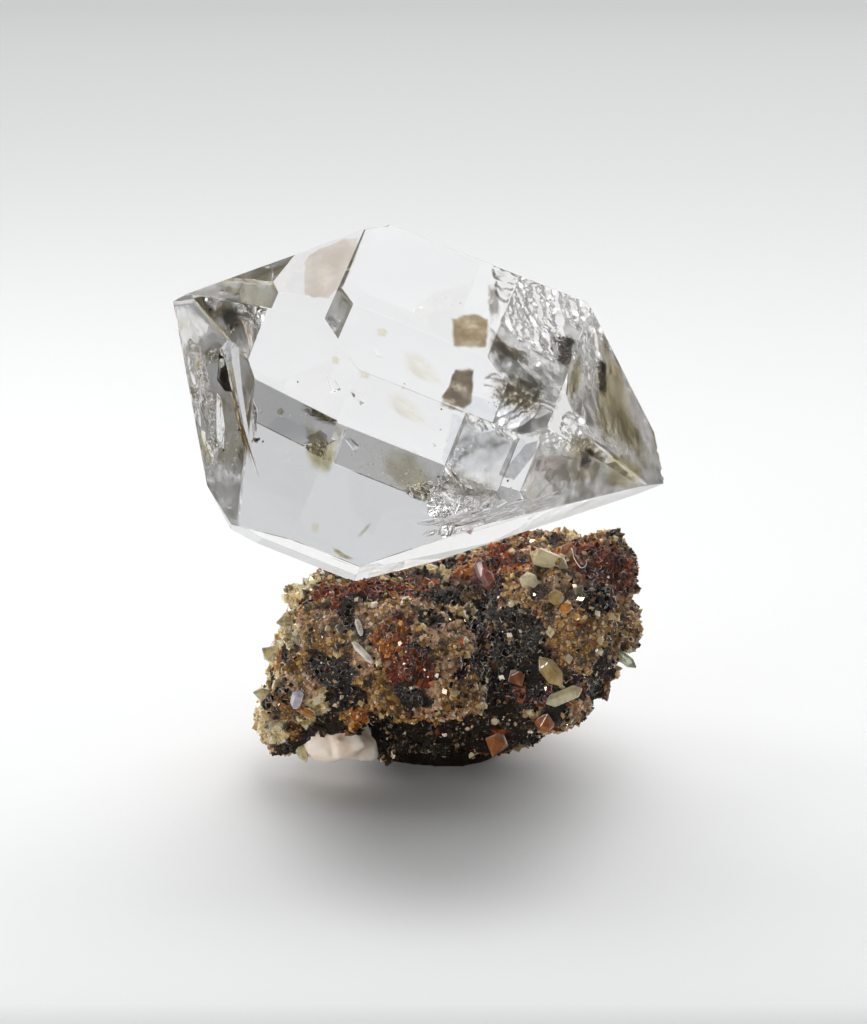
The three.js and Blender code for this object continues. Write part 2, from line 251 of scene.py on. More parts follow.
# Nicks on the crystal's edges: place in mm and radius in mm.
NICKS = (
    ((13.72, -1.22, -2.0), 0.16), ((13.83, -1.48, -2.6), 0.24), ((13.92, -1.72, -3.1), 0.18),
    ((14.03, -1.98, -3.8), 0.26), ((14.16, -2.22, -4.3), 0.22), ((-1.95, 0.45, 10.30), 0.22),
    ((-2.35, 0.30, 10.28), 0.16), ((12.6, -4.3, -3.85), 0.15), ((-14.35, 1.85, 5.50), 0.18),
)

# Cracks inside the crystal. The sheet that each lies in has a direction, a pixel and a depth there. Corners are
# pixels traced onto the sheet, or places in mm. The height and length of the ripples and the bulge are in mm.
CRACKS = {
    "left_pane_upper": {
        "sheet": ((0.8, -0.6, 0.1), (196, 366), 0.9),
        "corners": ((196, 350), (206, 372), (204, 384), (-12.8, 0.3, 1.47)),
        "ripple": 0.03, "size": 0.9, "bulge": 0.05, "seed": 3,
    },
    "left_pane_outer": {
        "sheet": ((0.8, -0.6, 0.1), (201, 405), 0.9),
        "corners": ((-12.6, -0.5, 1.25), (205, 388), (-11.58, 0.6, -0.78), (-11.77, 0.1, -1.98),
                    (-12.3, -0.6, -1.41), (-12.7, -0.9, 0.35)),
        "ripple": 0.03, "size": 1.0, "bulge": 0.08, "seed": 6,
    },
    "left_pane_inner": {
        "sheet": ((0.8, -0.6, 0.1), (218, 420), 0.9),
        "corners": ((-11.6, -1.6, 0.87), (221, 398), (226, 425), (224, 450), (217, 441)),
        "ripple": 0.05, "size": 0.9, "bulge": 0.06, "seed": 7,
    },
    "left_pane_lower": {
        "sheet": ((0.8, -0.6, 0.1), (208, 455), 0.9),
        "corners": ((-12.3, -1.7, -2), (209, 440), (-11.15, -0.52, -3.36), (-11.47, -1.05, -4.05),
                    (-12.1, -1.9, -3.26)),
        "ripple": 0.03, "size": 0.9, "bulge": 0.05, "seed": 8,
    },
    "left_sliver": {
        "sheet": ((0.8, -0.5, 0.3), (258, 430), 1),
        "corners": ((253, 398), (258, 410), (258, 430), (-9.34, -4.4, -1.14), (-9.5, -4.3, -0.6)),
        "ripple": 0.04, "size": 0.8, "bulge": 0.1, "seed": 4,
    },
    "dark_pane": {
        "sheet": ((0.62, -0.78, -0.1), (225, 375), 1.2),
        "corners": ((-11.44, -1.38, 2.79), (224, 358), (230, 392), (226, 390), (-11.39, -1.27, 1.56)),
        "ripple": 0.02, "size": 1.0, "bulge": 0.05, "seed": 5,
    },
}
CRACK_FACE = "left_low"
CRACK_GAP = 0.03
CRACK_RINGS = 16

# A hollow wedge-shaped blade in the left end: middles in mm along it, with its half width and half depth.
BLADE = (
    ((-10.55, -0.35, 3.75), 0.10, 0.06), ((-10.50, -0.40, 3.20), 0.72, 0.42),
    ((-10.40, -0.62, 2.50), 0.66, 0.36),
    ((-10.05, -1.35, 0.90), 0.44, 0.26), ((-9.55, -2.35, -1.20), 0.28, 0.16),
    ((-8.72, -3.89, -3.55), 0.05, 0.04),
)

# Clusters of tiny hollow bubbles: middle, reach along X, Y and Z, count, and least and most radius, in mm.
BUBBLES = (
    ((2.2, -8.0, -3.3), (1.5, 0.25, 0.9), 90, 0.03, 0.11), ((-11.74, -0.23, 2.92),
    (0.5, 0.3, 0.5), 34, 0.03, 0.09),
    ((-10.58, -0.90, 4.51), (0.5, 0.3, 0.35), 22, 0.02, 0.07), ((4.6, -8.2, -3.0),
    (2.0, 0.2, 0.5), 40, 0.02, 0.07),
    ((-10.2, -2.3, -2.0), (0.9, 0.5, 1.6), 40, 0.02, 0.08), ((3.6, 5.6, -5.6),
    (1.4, 0.6, 0.6), 50, 0.04, 0.12),
)
# Long slender hollows of the veil above the lower edge: the line that they follow, count, and length.
VEIL = {"start": (0.6, -7.2, -5.5), "end": (7.6, -6.1, -4.0), "rise": 0.75, "count": 34, "length": (0.6, 2.4)}


def hull_planes():
    """The outward direction and distance from the world's origin of each of the crystal's faces."""
    body = merged_solid("quartz_crystal")
    bmesh.ops.dissolve_limit(body, angle_limit=math.radians(0.5), verts=body.verts, edges=body.edges)
    planes = [(face.normal.copy(), face.normal.dot(face.verts[0].co)) for face in body.faces]
    body.free()
    return planes


def kept_inside(place, planes, margin):
    """Moves a place until it lies at least the margin below each of the crystal's faces."""
    for _ in range(3):
        for normal, reach in planes:
            over = normal.dot(place) - (reach - margin)
            if over > 0:
                place = place - normal * over
    return place


def crystal_hull():
    """The crystal's solid as flat many-sided faces with narrow worn edges."""
    body = merged_solid("quartz_crystal")
    bmesh.ops.dissolve_limit(body, angle_limit=math.radians(0.5), verts=body.verts, edges=body.edges)
    bmesh.ops.bevel(
        body, geom=body.edges[:], offset=EDGE_WEAR * MM, segments=1, affect="EDGES", clamp_overlap=True,
    )
    return body


# ---------- places seen in the picture ----------

# Marks in the crystal are given where the camera's picture shows them, in its pixels across and down, and are
# traced from there into the crystal.
PICTURE_CENTRE = (420, 400)  # the pixel where the crystal's centre falls
PIXEL_SIZE = 0.058  # mm at the crystal's centre
QUARTZ_IOR = 1.55
FAR_SIDE = "far side"  # in place of a depth: just inside the face behind
FAR_SIDE_GAP = 0.25  # mm
# A pixel on each face that marks are seen through.
SEEN_FACES = {
    "upper_front": (420, 330), "lower_front": (400, 510), "left_high": (320, 265), "left_low": (215, 430),
    "right_high": (620, 400), "right_low": (585, 462), "underside": (335, 568),
}


def faces_in_mm(planes):
    """The crystal's faces as direction and distance in mm from its centre."""
    return [(normal, (reach - normal.dot(CENTRE)) / MM) for normal, reach in planes]


def sight_line(pixel):
    """The eye, in mm from the crystal's centre, and the direction of its sight through a pixel."""
    down = Vector((0, -math.sin(VIEW_ELEVATION), -math.cos(VIEW_ELEVATION)))
    eye = Vector((0, -math.cos(VIEW_ELEVATION), math.sin(VIEW_ELEVATION))) * VIEW_DISTANCE
    spot = Vector((pixel[0] - PICTURE_CENTRE[0], 0, 0)) + down * (pixel[1] - PICTURE_CENTRE[1])
    return eye, (spot * PIXEL_SIZE - eye).normalized()


def way_to(face, place, heading):
    """How far the face's plane lies along a heading."""
    normal, reach = face
    return (reach - normal.dot(place)) / normal.dot(heading)


def face_seen(pixel, faces):
    """The face that the sight through a pixel enters."""
    eye, sight = sight_line(pixel)
    return max((face for face in faces if face[0].dot(sight) < 0), key=lambda face: way_to(face, eye, sight))


def bent_sight(pixel, face):
    """Where the sight through a pixel meets the face, and its heading inside the crystal."""
    eye, sight = sight_line(pixel)
    lean = -sight.dot(face[0])
    inner_lean = math.sqrt(1 - (1 - lean * lean) / QUARTZ_IOR ** 2)
    heading = sight / QUARTZ_IOR + face[0] * (lean / QUARTZ_IOR - inner_lean)
    return eye + sight * way_to(face, eye, sight), heading


def sheet_plane(direction, pixel, depth, through, faces):
    """The plane of a sheet that lies at a depth behind a pixel, seen through the named face."""
    entry, heading = bent_sight(pixel, face_seen(SEEN_FACES[through], faces))
    normal = Vector(direction).normalized()
    return normal, normal.dot(entry + heading * depth)


def traced(corners, through, depth, faces):
    """The corners in mm. Pixels are followed through the named face to a depth in mm, to a sheet's plane or to
    the far side. Corners with three values are in mm already."""
    face = face_seen(SEEN_FACES[through], faces)
    places = []
    for corner in corners:
        if len(corner) == 3:
            places.append(Vector(corner))
            continue
        entry, heading = bent_sight(corner, face)
        if depth == FAR_SIDE:
            ahead = [other for other in faces if other[0].dot(heading) > 0]
            way = min(way_to(other, entry, heading) for other in ahead) - FAR_SIDE_GAP
        elif isinstance(depth, tuple):
            way = way_to(depth, entry, heading)
        else:
            way = depth
        places.append(entry + heading * way)
    return places


def on_surface(spot, faces):
    """A pixel's place on the crystal's surface, or the same place if it is in mm already."""
    return Vector(spot) if len(spot) == 3 else bent_sight(spot, face_seen(spot, faces))[0]


def pit_cutters(planes):
    """Shapes that carve the etch pits, pinpricks and nicks."""
    cutter = bmesh.new()
    faces = faces_in_mm(planes)
    for corners, depth, share in ETCH_PITS:
        rim = [at(*on_surface(corner, faces)) for corner in corners]
        middle = sum(rim, Vector()) / len(rim)
        normal = max(planes, key=lambda plane: plane[0].dot(middle) - plane[1])[0]
        top = [cutter.verts.new(corner + normal * 0.05 * MM + (corner - middle) * 0.2) for corner in rim]
        low = [cutter.verts.new(middle + (corner - middle) * share - normal * depth * MM) for corner in rim]
        cutter.faces.new(top)
        cutter.faces.new(low[::-1])
        for k in range(len(rim)):
            after = (k + 1) % len(rim)
            cutter.faces.new((top[k], low[k], low[after], top[after]))
    for k, (place, radius) in enumerate(PINPRICKS + NICKS):
        middle = at(*on_surface(place, faces))
        normal = max(planes, key=lambda plane: plane[0].dot(middle) - plane[1])[0]
        ball = bmesh.ops.create_icosphere(cutter, subdivisions=2, radius=radius * MM)["verts"]
        lift = 0.45 if k < len(PINPRICKS) else 0.25
        for vertex in ball:
            bumpy = 1 + 0.25 * noise.noise(vertex.co / MM * 6 + Vector((k, 0, 0)))
            vertex.co = middle + vertex.co * bumpy + normal * radius * lift * MM
    bmesh.ops.recalc_face_normals(cutter, faces=cutter.faces)
    return cutter


def carve_pits(body, planes):
    """Cuts the pits out of the crystal."""
    shapes = []
    for name, shape in (("crystal_blank", body), ("pit_cutters", pit_cutters(planes))):
        mesh = bpy.data.meshes.new(name)
        shape.to_mesh(mesh)
        shape.free()
        shapes.append(new_piece(name, mesh))
    blank, cutters = shapes
    carve = blank.modifiers.new("carve", "BOOLEAN")
    carve.operation, carve.solver, carve.object = "DIFFERENCE", "EXACT", cutters
    baked(blank)
    carved = bmesh.new()
    carved.from_mesh(blank.data)
    for piece in shapes:
        bpy.data.meshes.remove(piece.data)
    return carved


def broad_face(body, out):
    """The largest face that looks in the given direction."""
    out = Vector(out).normalized()
    facing = [face for face in body.faces if face.normal.dot(out) > 0.9995]
    return max(facing, key=lambda face: face.calc_area())


def slice_into_grid(body, face, step):
    """Cuts one flat face along a square grid, and returns its pieces."""
    normal = face.normal.copy()
    along = (face.verts[1].co - face.verts[0].co).normalized()
    corners = [vertex.co.copy() for vertex in face.verts]
    pieces = [face]
    for direction in (along, normal.cross(along)):
        places = [corner.dot(direction) for corner in corners]
        lines = int((max(places) - min(places)) / step)
        for line in range(1, lines):
            place = direction * (min(places) + line * step)
            geometry = set(pieces)
            for piece in pieces:
                geometry.update(piece.verts, piece.edges)
            cut = bmesh.ops.bisect_plane(
                body, geom=list(geometry), dist=1e-9, plane_co=place, plane_no=direction,
            )
            pieces = [item for item in cut["geom"] if isinstance(item, bmesh.types.BMFace)]
    return pieces, normal


def etched(place, climb, stair, furrows):
    """How deep a place lies on etched ground, in mm, and how deep in its furrows, from 0 to 1."""
    spacing, slope = stair
    size, depth, drawn_out = furrows
    climb = Vector(climb).normalized()
    warp = 0.8 * octaves(place + Vector((31, 0, 0)), 1.3, 3, 0.6)
    across = climb.cross(Vector((0.31, 0.52, 0.79)))
    chip = noise.cell(Vector((math.floor((place.dot(across) + 1.4 * warp) / 0.85) * 5.3, 2.5, 0.5)))
    along = (place.dot(climb) + warp) / spacing + 1.7 * chip
    share = along - math.floor(along)
    tall = 0.85 + 0.35 * noise.cell(Vector((math.floor(along) * 3.7, 0.5, 0.5)))
    rise = share / 0.95 if share < 0.95 else (1 - share) / 0.05
    drawn = place + climb.orthogonal() * (place.dot(climb.orthogonal()) * (1 / drawn_out - 1))
    furrow = octaves(drawn, size, 4, 0.65)
    return rise * spacing * slope * tall + depth * (1 + 2.2 * furrow), smooth_step(0.0, 0.45, furrow)


def roughen_face(body, outline, out, step, climb, stair, furrows, spots, rest, haze, iron):
    """Etches a face: the relief sinks into the crystal, fades out at its outline and fills its rough spots."""
    frost, rust = body.verts.layers.float["frost"], body.verts.layers.float["iron"]
    pieces, normal = slice_into_grid(body, broad_face(body, out), step * MM)
    sides = []
    for k, corner in enumerate(outline):
        side = outline[(k + 1) % len(outline)] - corner
        if side.length > 1e-6:
            sides.append((corner, normal.cross(side).normalized()))
    for vertex in {vertex for piece in pieces for vertex in piece.verts}:
        inset = min((vertex.co - corner).dot(inward) for corner, inward in sides)
        fade = max(smooth_step(0.0, ROUGH_MARGIN * MM, inset), 0.0)
        place = (vertex.co - CENTRE) / MM
        fray = 0.25 * octaves(place, 1.6, 2)
        share = max(1 - smooth_step(0.72, 1.0, (place - Vector(middle)).length / reach + fray)
                    for middle, reach in spots)
        relief, furrow = etched(place, climb, stair, furrows)
        swell = 0.5 + 0.5 * octaves(Vector((place.x * 0.6, place.y, place.z * 1.2)), 2.6, 3)
        vertex[frost] = (haze[0] * share + haze[1] * (1 - share)) * smooth_step(0.0, 0.1 * MM, inset)
        vertex[rust] = iron * share * fade * (0.32 + 0.68 * furrow)
        vertex.co -= normal * (fade * MM * (share * relief + rest * swell))
    for piece in pieces:
        piece.smooth = True


def add_hollow(body, rows, first, last):
    """Adds a closed hollow through rings of places, with its faces turned into the hollow."""
    rings = [[body.verts.new(place) for place in row] for row in rows]
    start, end = body.verts.new(first), body.verts.new(last)
    count = len(rings[0])
    made = []
    for j in range(count):
        after = (j + 1) % count
        made.append(body.faces.new((start, rings[0][after], rings[0][j])))
        for a, b in zip(rings, rings[1:]):
            made.append(body.faces.new((a[j], a[after], b[after], b[j])))
        made.append(body.faces.new((end, rings[-1][j], rings[-1][after])))
    return made


def add_crack(body, planes, corners, ripple, size, bulge, seed):
    """Adds a thin rippled hollow inside the given corners, with its faces turned into the gap."""
    corners = [Vector(corner) for corner in corners]
    middle = sum(corners, Vector()) / len(corners)
    normal = Vector()
    for k, corner in enumerate(corners):
        normal += (corner - middle).cross(corners[(k + 1) % len(corners)] - middle)
    normal.normalize()
    outline = []
    for k, corner in enumerate(corners):
        after = corners[(k + 1) % len(corners)]
        steps = max(int((after - corner).length / 0.14), 1)
        outline += [corner.lerp(after, step / steps) for step in range(steps)]
    shift = Vector((seed * 7.3, seed * 3.1, seed * 5.7))
    broad = max((corner - middle).length for corner in corners)

    def spot(edge, share, side):
        flat = (edge - middle) * share
        jag = 1 + 0.05 * noise.noise((edge + shift) * 2.5) * share ** 8
        wave = ripple * octaves(middle + flat + shift, size, 3, 0.55) + bulge * (1 - (flat.length / broad) ** 2)
        lift = wave + side * CRACK_GAP * (1 - smooth_step(0.85, 1.0, share)) * 0.5
        return kept_inside(at(*(middle + flat * jag + normal * lift)), planes, 0.05 * MM - side * 0.012 * MM)

    rim = [body.verts.new(spot(edge, 1.0, 0)) for edge in outline]
    count = len(rim)
    for side in (1, -1):
        rings = [[body.verts.new(spot(edge, ring / CRACK_RINGS, side)) for edge in outline]
                 for ring in range(1, CRACK_RINGS)] + [rim]
        middle_vertex = body.verts.new(spot(middle, 0.0, side))
        for j in range(count):
            after = (j + 1) % count
            faces = [[middle_vertex, rings[0][j], rings[0][after]]]
            for inner, outer in zip(rings, rings[1:]):
                faces.append([inner[j], outer[j], outer[after], inner[after]])
            for spots in faces:
                face = body.faces.new(spots if side < 0 else spots[::-1])
                face.smooth = True


def add_blade(body, planes):
    """Adds the hollow blade: a flat-sided wedge that narrows to a point."""
    stations = [(at(*place), width * MM, depth * MM) for place, width, depth in BLADE]
    rows = []
    for k, (place, width, depth) in enumerate(stations[1:-1], 1):
        heading = (stations[k + 1][0] - stations[k - 1][0]).normalized()
        side = heading.cross(Vector((0.45, 0.89, 0))).normalized()
        back = side.cross(heading)
        ring = []
        for across, deep in ((-1.0, 0.1), (-0.35, -0.8), (0.30, -1.0), (1.0, 0.0), (0.25, 0.9)):
            wobble = 1 + 0.12 * noise.noise(Vector((k * 2.1, across * 3, deep * 3)))
            ring.append(kept_inside(place + side * width * across * wobble + back * depth * deep, planes, 0.05 * MM))
        rows.append(ring)
    faces = add_hollow(body, rows, stations[0][0], stations[-1][0])
    return faces


def build_quartz(looks):
    planes = hull_planes()
    hull = crystal_hull()
    outlines = {name: [vertex.co.copy() for vertex in broad_face(hull, rough["out"]).verts]
                for name, rough in ROUGH_FACES.items()}
    body = carve_pits(hull, planes)
    for layer in ("frost", "iron"):
        body.verts.layers.float.new(layer)
    for name, rough in ROUGH_FACES.items():
        roughen_face(body, outlines[name], **rough)
    faces = faces_in_mm(planes)
    for crack in CRACKS.values():
        sheet = sheet_plane(*crack["sheet"], CRACK_FACE, faces)
        corners = traced(crack["corners"], CRACK_FACE, sheet, faces)
        add_crack(body, planes, corners, crack["ripple"], crack["size"], crack["bulge"], crack["seed"])
    hollows = bmesh.new()
    add_blade(hollows, planes)
    chance = random.Random(looks.seed)
    for middle, reach, count, least, most in BUBBLES:
        for _ in range(count):
            spread = [chance.gauss(0, 0.5) * r for r in reach]
            radius = (least + (most - least) * chance.random() ** 3) * MM
            place = kept_inside(at(*(m + s for m, s in zip(middle, spread))), planes, radius + 0.05 * MM)
            ball = bmesh.ops.create_icosphere(hollows, subdivisions=2, radius=radius)["verts"]
            stretch = Vector((0.7 + chance.random(), 0.6, 0.7 + chance.random()))
            for vertex in ball:
                vertex.co = place + vertex.co * stretch
    start, end = Vector(VEIL["start"]), Vector(VEIL["end"])
    for _ in range(VEIL["count"]):
        share = chance.random()
        length = chance.uniform(*VEIL["length"])
        heading = (end - start).normalized() + Vector((0, chance.uniform(-0.15, 0.15), chance.uniform(-0.12, 0.2)))
        heading.normalize()
        middle = start.lerp(end, share) + Vector((0, chance.uniform(-0.7, 0.5), chance.random() ** 2 * VEIL["rise"]))
        side = heading.cross(Vector((0, chance.uniform(0.3, 1), chance.uniform(-1, 1)))).normalized()
        back = side.cross(heading)
        width, depth = chance.uniform(0.06, 0.22), chance.uniform(0.02, 0.06)
        rows = []
        for k in range(1, 8):
            t = k / 8
            swell = math.sin(math.pi * t) ** 0.7
            bend = 0.12 * noise.noise(Vector((share * 40, t * 2.5, 0)))
            ring = []
            for j in range(8):
                turn = 2 * math.pi * j / 8
                place = (middle + heading * length * (t - 0.5) + back * bend
                         + side * width * swell * math.cos(turn) + back * depth * swell * math.sin(turn))
                ring.append(kept_inside(at(*place), planes, 0.06 * MM))
            rows.append(ring)
        ends = [kept_inside(at(*(middle + heading * length * t)), planes, 0.06 * MM) for t in (-0.5, 0.5)]
        for face in add_hollow(hollows, rows, *ends):
            face.smooth = True
    # A hollow's wall looks away from the quartz, into the hollow.
    bmesh.ops.recalc_face_normals(hollows, faces=hollows.faces)
    bmesh.ops.reverse_faces(hollows, faces=hollows.faces)
    mesh = bpy.data.meshes.new("hollows")
    hollows.to_mesh(mesh)
    hollows.free()
    body.from_mesh(mesh)
    bpy.data.meshes.remove(mesh)
    mesh = bpy.data.meshes.new("clear_quartz_crystal")
    body.to_mesh(mesh)
    body.free()
    crystal = new_piece("clear_quartz_crystal", mesh, quartz_material(looks))
    # Light reaches the stone through the clear crystal, so it throws no shadow of its own.
    crystal.visible_shadow = False
    crystal.visible_diffuse = False
    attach(crystal, "root")
    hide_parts("quartz_crystal")
    return crystal


# ---------- inclusions in the quartz ----------

# What a stain leaves of the light that passes through it, from its thickest to its thinnest parts.
TAN = ((150, 126, 90), (174, 154, 120), (206, 192, 162))
BROWN = ((84, 68, 46), (122, 102, 74), (176, 162, 136))
OLIVE = ((206, 192, 136), (232, 222, 178), (250, 246, 226))
DEEP_OLIVE = ((120, 108, 54), (168, 156, 104), (216, 206, 168))
# Painted light: the tint of the light on the board behind the stone, seen through the crystal.
FLOOR_LIGHT_BEIGE = ((222, 212, 200), (232, 224, 214), (242, 238, 230))
# Black soot, and also the painted shadow beside the blade.
SOOT_AND_SHADOW = ((20, 15, 8), (44, 33, 18), (104, 86, 56))
GOLD = ((116, 88, 50), (160, 130, 84), (214, 196, 160))
COOL = ((222, 226, 232), (230, 234, 238), (240, 242, 246))
GREY = ((176, 176, 178), (194, 194, 196), (212, 212, 212))
UMBER = ((52, 44, 30), (118, 106, 80), (224, 218, 200))
BAND = ((164, 150, 84), (204, 192, 136), (242, 238, 214))
SAND = ((186, 172, 136), (214, 204, 174), (246, 242, 228))

# Sheets that two panes lie in: direction, a pixel, the depth there and the face that the pixel is seen through.
WINDOW_SHEET = ((0.24, -0.567, 0.788), (470, 474), 0.25, "lower_front")
WEDGE_SHEET = ((0.80, -0.45, 0.40), (500, 470), 0.3, "right_low")

# Stains in the crystal: the face that each is seen through, its depth there in mm or its sheet, its corners in
# pixels or in mm, how far its mottles are drawn out, colours, thickness, and for some how fine the mottles are.
# The panes have crisp rims. Two panes are painted light and shade: the light on the board behind the stone, and the
# blade's shadow.
STAINS = {
    "window_pane": ("lower_front", WINDOW_SHEET, ((452, 413), (470, 419), (503, 430), (514, 438),
        (508, 452), (492, 471), (470, 474), (452, 468), (441, 461)), 1.0, COOL, 0.6),
    "umber_band": ("upper_front", 2.2, ((489, 374), (520, 366), (548, 372), (556, 392), (548, 415),
        (528, 424), (503, 414), (484, 398)), 1.5, UMBER, 1.0, 2.6),
    "umber_edge": ("upper_front", 2.0, ((486, 322), (494, 330), (507, 344), (530, 352), (540, 362),
        (520, 368), (498, 362), (484, 348)), 2.0, UMBER, 1.0, 2.2),
    "umber_left": ("upper_front", 2.0, ((487, 282), (497, 276), (501, 300), (500, 322), (490, 328),
        (486, 305)), 2.0, UMBER, 0.7, 2.6),
    "sandy_right": ("right_high", 1.5, ((9.71, 0.54, 4.54), (11.15, 1.31, 2.48), (12.1, 0.55, -0.4),
        (12.65, -0.78, -3.28), (12.07, -2.36, -3.52), (605, 455), (585, 425), (588, 380)),
        2.4, SAND, 1.0, 1.1),
    "sandy_low_right": ("right_low", 1.5, ((560, 440), (590, 432), (612, 455), (606, 485), (575, 492),
        (555, 475)), 1.3, SAND, 0.9, 1.4),
    "sandy_veil": ("lower_front", 1.0, ((432, 468), (450, 462), (480, 478), (500, 486), (512, 500),
        (480, 505), (448, 500), (430, 488)), 1.6, UMBER, 0.6, 3.0),
    "wedge_pane": ("lower_front", WEDGE_SHEET, ((513, 440), (522, 436), (524, 448), (512, 482),
        (4.33, -9.4, -1.75)), 1.0, GREY, 1.0),
    "tan_stain": ("upper_front", 1.0, ((450, 318), (462, 313), (476, 313), (490, 318), (489, 336),
        (487, 350), (468, 351), (452, 347)), 1.0, TAN, 1.0, 0.8),
    "brown_stain": ("upper_front", 0.5, ((440, 398), (448, 384), (455, 367), (466, 365), (475, 369),
        (474, 388), (474, 402), (465, 411), (449, 407), (441, 405)), 1.0, BROWN, 0.95, 1.1),
    "olive_veil": ("upper_front", 6.0, ((400, 350), (416, 347), (436, 366), (452, 392), (436, 388),
        (414, 378), (399, 364)), 1.8, OLIVE, 0.35),
    "olive_fleck": ("upper_front", 6.0, ((376, 328), (384, 327), (390, 332), (386, 338), (377, 336)),
        1.0, OLIVE, 0.5),
    "band_spot": ("left_low", 2.0, ((276, 409), (281, 406), (286, 411), (282, 416), (276, 415)),
        1.0, DEEP_OLIVE, 0.7),
    "band_olive_left": ("left_low", 2.0, ((300, 418), (320, 424), (336, 436), (332, 452), (322, 474),
        (310, 474), (303, 455), (306, 437)), 1.2, BAND, 0.8, 0.7),
    "band_olive": ("lower_front", 2.0, ((372, 446), (392, 440), (412, 448), (432, 462), (444, 486),
        (440, 506), (424, 508), (406, 498), (388, 488), (376, 470)), 1.2, BAND, 0.55, 0.7),
    "low_streak": ("lower_front", 1.5, ((371, 520), (374, 522), (366, 532), (358, 540), (355, 538),
        (362, 529)), 2.5, DEEP_OLIVE, 0.5),
    "low_dark_streak": ("lower_front", 1.5, ((330, 546), (336, 547), (346, 554), (356, 559), (352, 563),
        (340, 558), (331, 551)), 2.5, DEEP_OLIVE, 1.0),
    "low_edge": ("underside", 0.8, ((313, 562), (324, 563), (340, 569), (352, 577), (340, 577), (326, 571),
        (314, 567)), 1.5, OLIVE, 0.4),
    "low_freckles": ("left_low", 1.5, ((303, 518), (313, 520), (312, 534), (304, 532)), 1.0, OLIVE, 0.5),
    # Painted light: a beige film that stands in for the tinted light on the board behind the stone, seen through the
    # crystal.
    "beige_pane": ("left_high", 0.5, ((304, 296), (303, 262), (318, 247), (345, 238), (361, 234),
        (352, 262), (341, 285), (329, 300), (316, 300)), 1.0, FLOOR_LIGHT_BEIGE, 1.0, 0.5),
    "right_brown_top": ("right_high", 1.2, ((602, 318), (612, 336), (611, 356), (604, 368), (600, 350)),
        2.0, BROWN, 0.6),
    "right_brown_streak": ("right_high", 1.2, ((573, 352), (583, 350), (585, 372), (578, 398), (566, 412),
        (563, 396)), 2.0, DEEP_OLIVE, 0.8),
    "right_olive_streak": ("right_high", 1.5, ((612, 384), (630, 412), (650, 446), (660, 478), (642, 480),
        (634, 452), (616, 424), (606, 398)), 3.5, DEEP_OLIVE, 0.7),
    "right_olive_low": ("right_high", 1.2, ((600, 450), (622, 448), (640, 462), (652, 482), (628, 486),
        (606, 480)), 2.0, OLIVE, 0.9),
    "left_gold_line": ("left_low", 1.0, ((227, 374), (231, 375), (238, 404), (247, 438), (258, 472),
        (255, 476), (241, 440), (231, 404)), 4.0, GOLD, 1.0),
    "left_tan": ("left_low", 0.6, ((196, 430), (204, 428), (210, 448), (216, 470), (208, 466), (200, 450)),
        2.5, OLIVE, 0.8),
    "brown_halo": ("right_low", 1.5, ((578, 456), (588, 452), (594, 462), (588, 472), (577, 468)),
        1.0, BROWN, 1.0),
    # Painted shadow: a black film where the blade's shadow darkens the crystal.
    "soot_pane": ("left_low", 1.0, ((219, 352), (224, 357), (229, 376), (232, 393), (224, 391), (217, 380)),
        1.0, SOOT_AND_SHADOW, 1.0),
    "soot_cloud": ("left_low", 1.6, ((222, 304), (236, 302), (246, 314), (243, 330), (232, 337), (222, 330),
        (218, 316)), 1.0, SOOT_AND_SHADOW, 0.85),
    "soot_patch": ("upper_front", FAR_SIDE, ((547, 337), (560, 332), (572, 333), (577, 338), (574, 352),
        (7.45, 4.35, -2.55), (560, 371), (551, 361), (555, 352), (547, 346)), 1.0, SOOT_AND_SHADOW, 1.0),
}

# Directions that the sheets of grains face.
RB = (0.672, 0.717, -0.188)

# Black carbon: middle, outward direction of the plane that it lies along, direction of its length, half
# length and half width in mm, spacing and most size of its grains in mm, and a seed.
CARBON = {
    "carbon_patch": ((7.25, 4.9, -1.0), RB, (-0.35, 0.1, 1.0), 1.35, 1.0, 0.05, 0.17, 1),
    "carbon_knot": ((-8.98, -3.46, -1.43), (-0.3, -0.95, 0.0), (1.0, 0.0, 0.2), 0.38, 0.22, 0.05, 0.16, 2),
    "carbon_pane": ((-10.75, -0.75, 1.5), (-0.6, -0.8, 0.0), (0.2, 0.0, -1.0), 0.80, 0.20, 0.05, 0.14, 3),
    "carbon_low": ((9.05, -5.35, -1.85), (0.2, 0.9, 0.1), (1.0, 0.0, 0.3), 0.34, 0.20, 0.05, 0.14, 4),
}


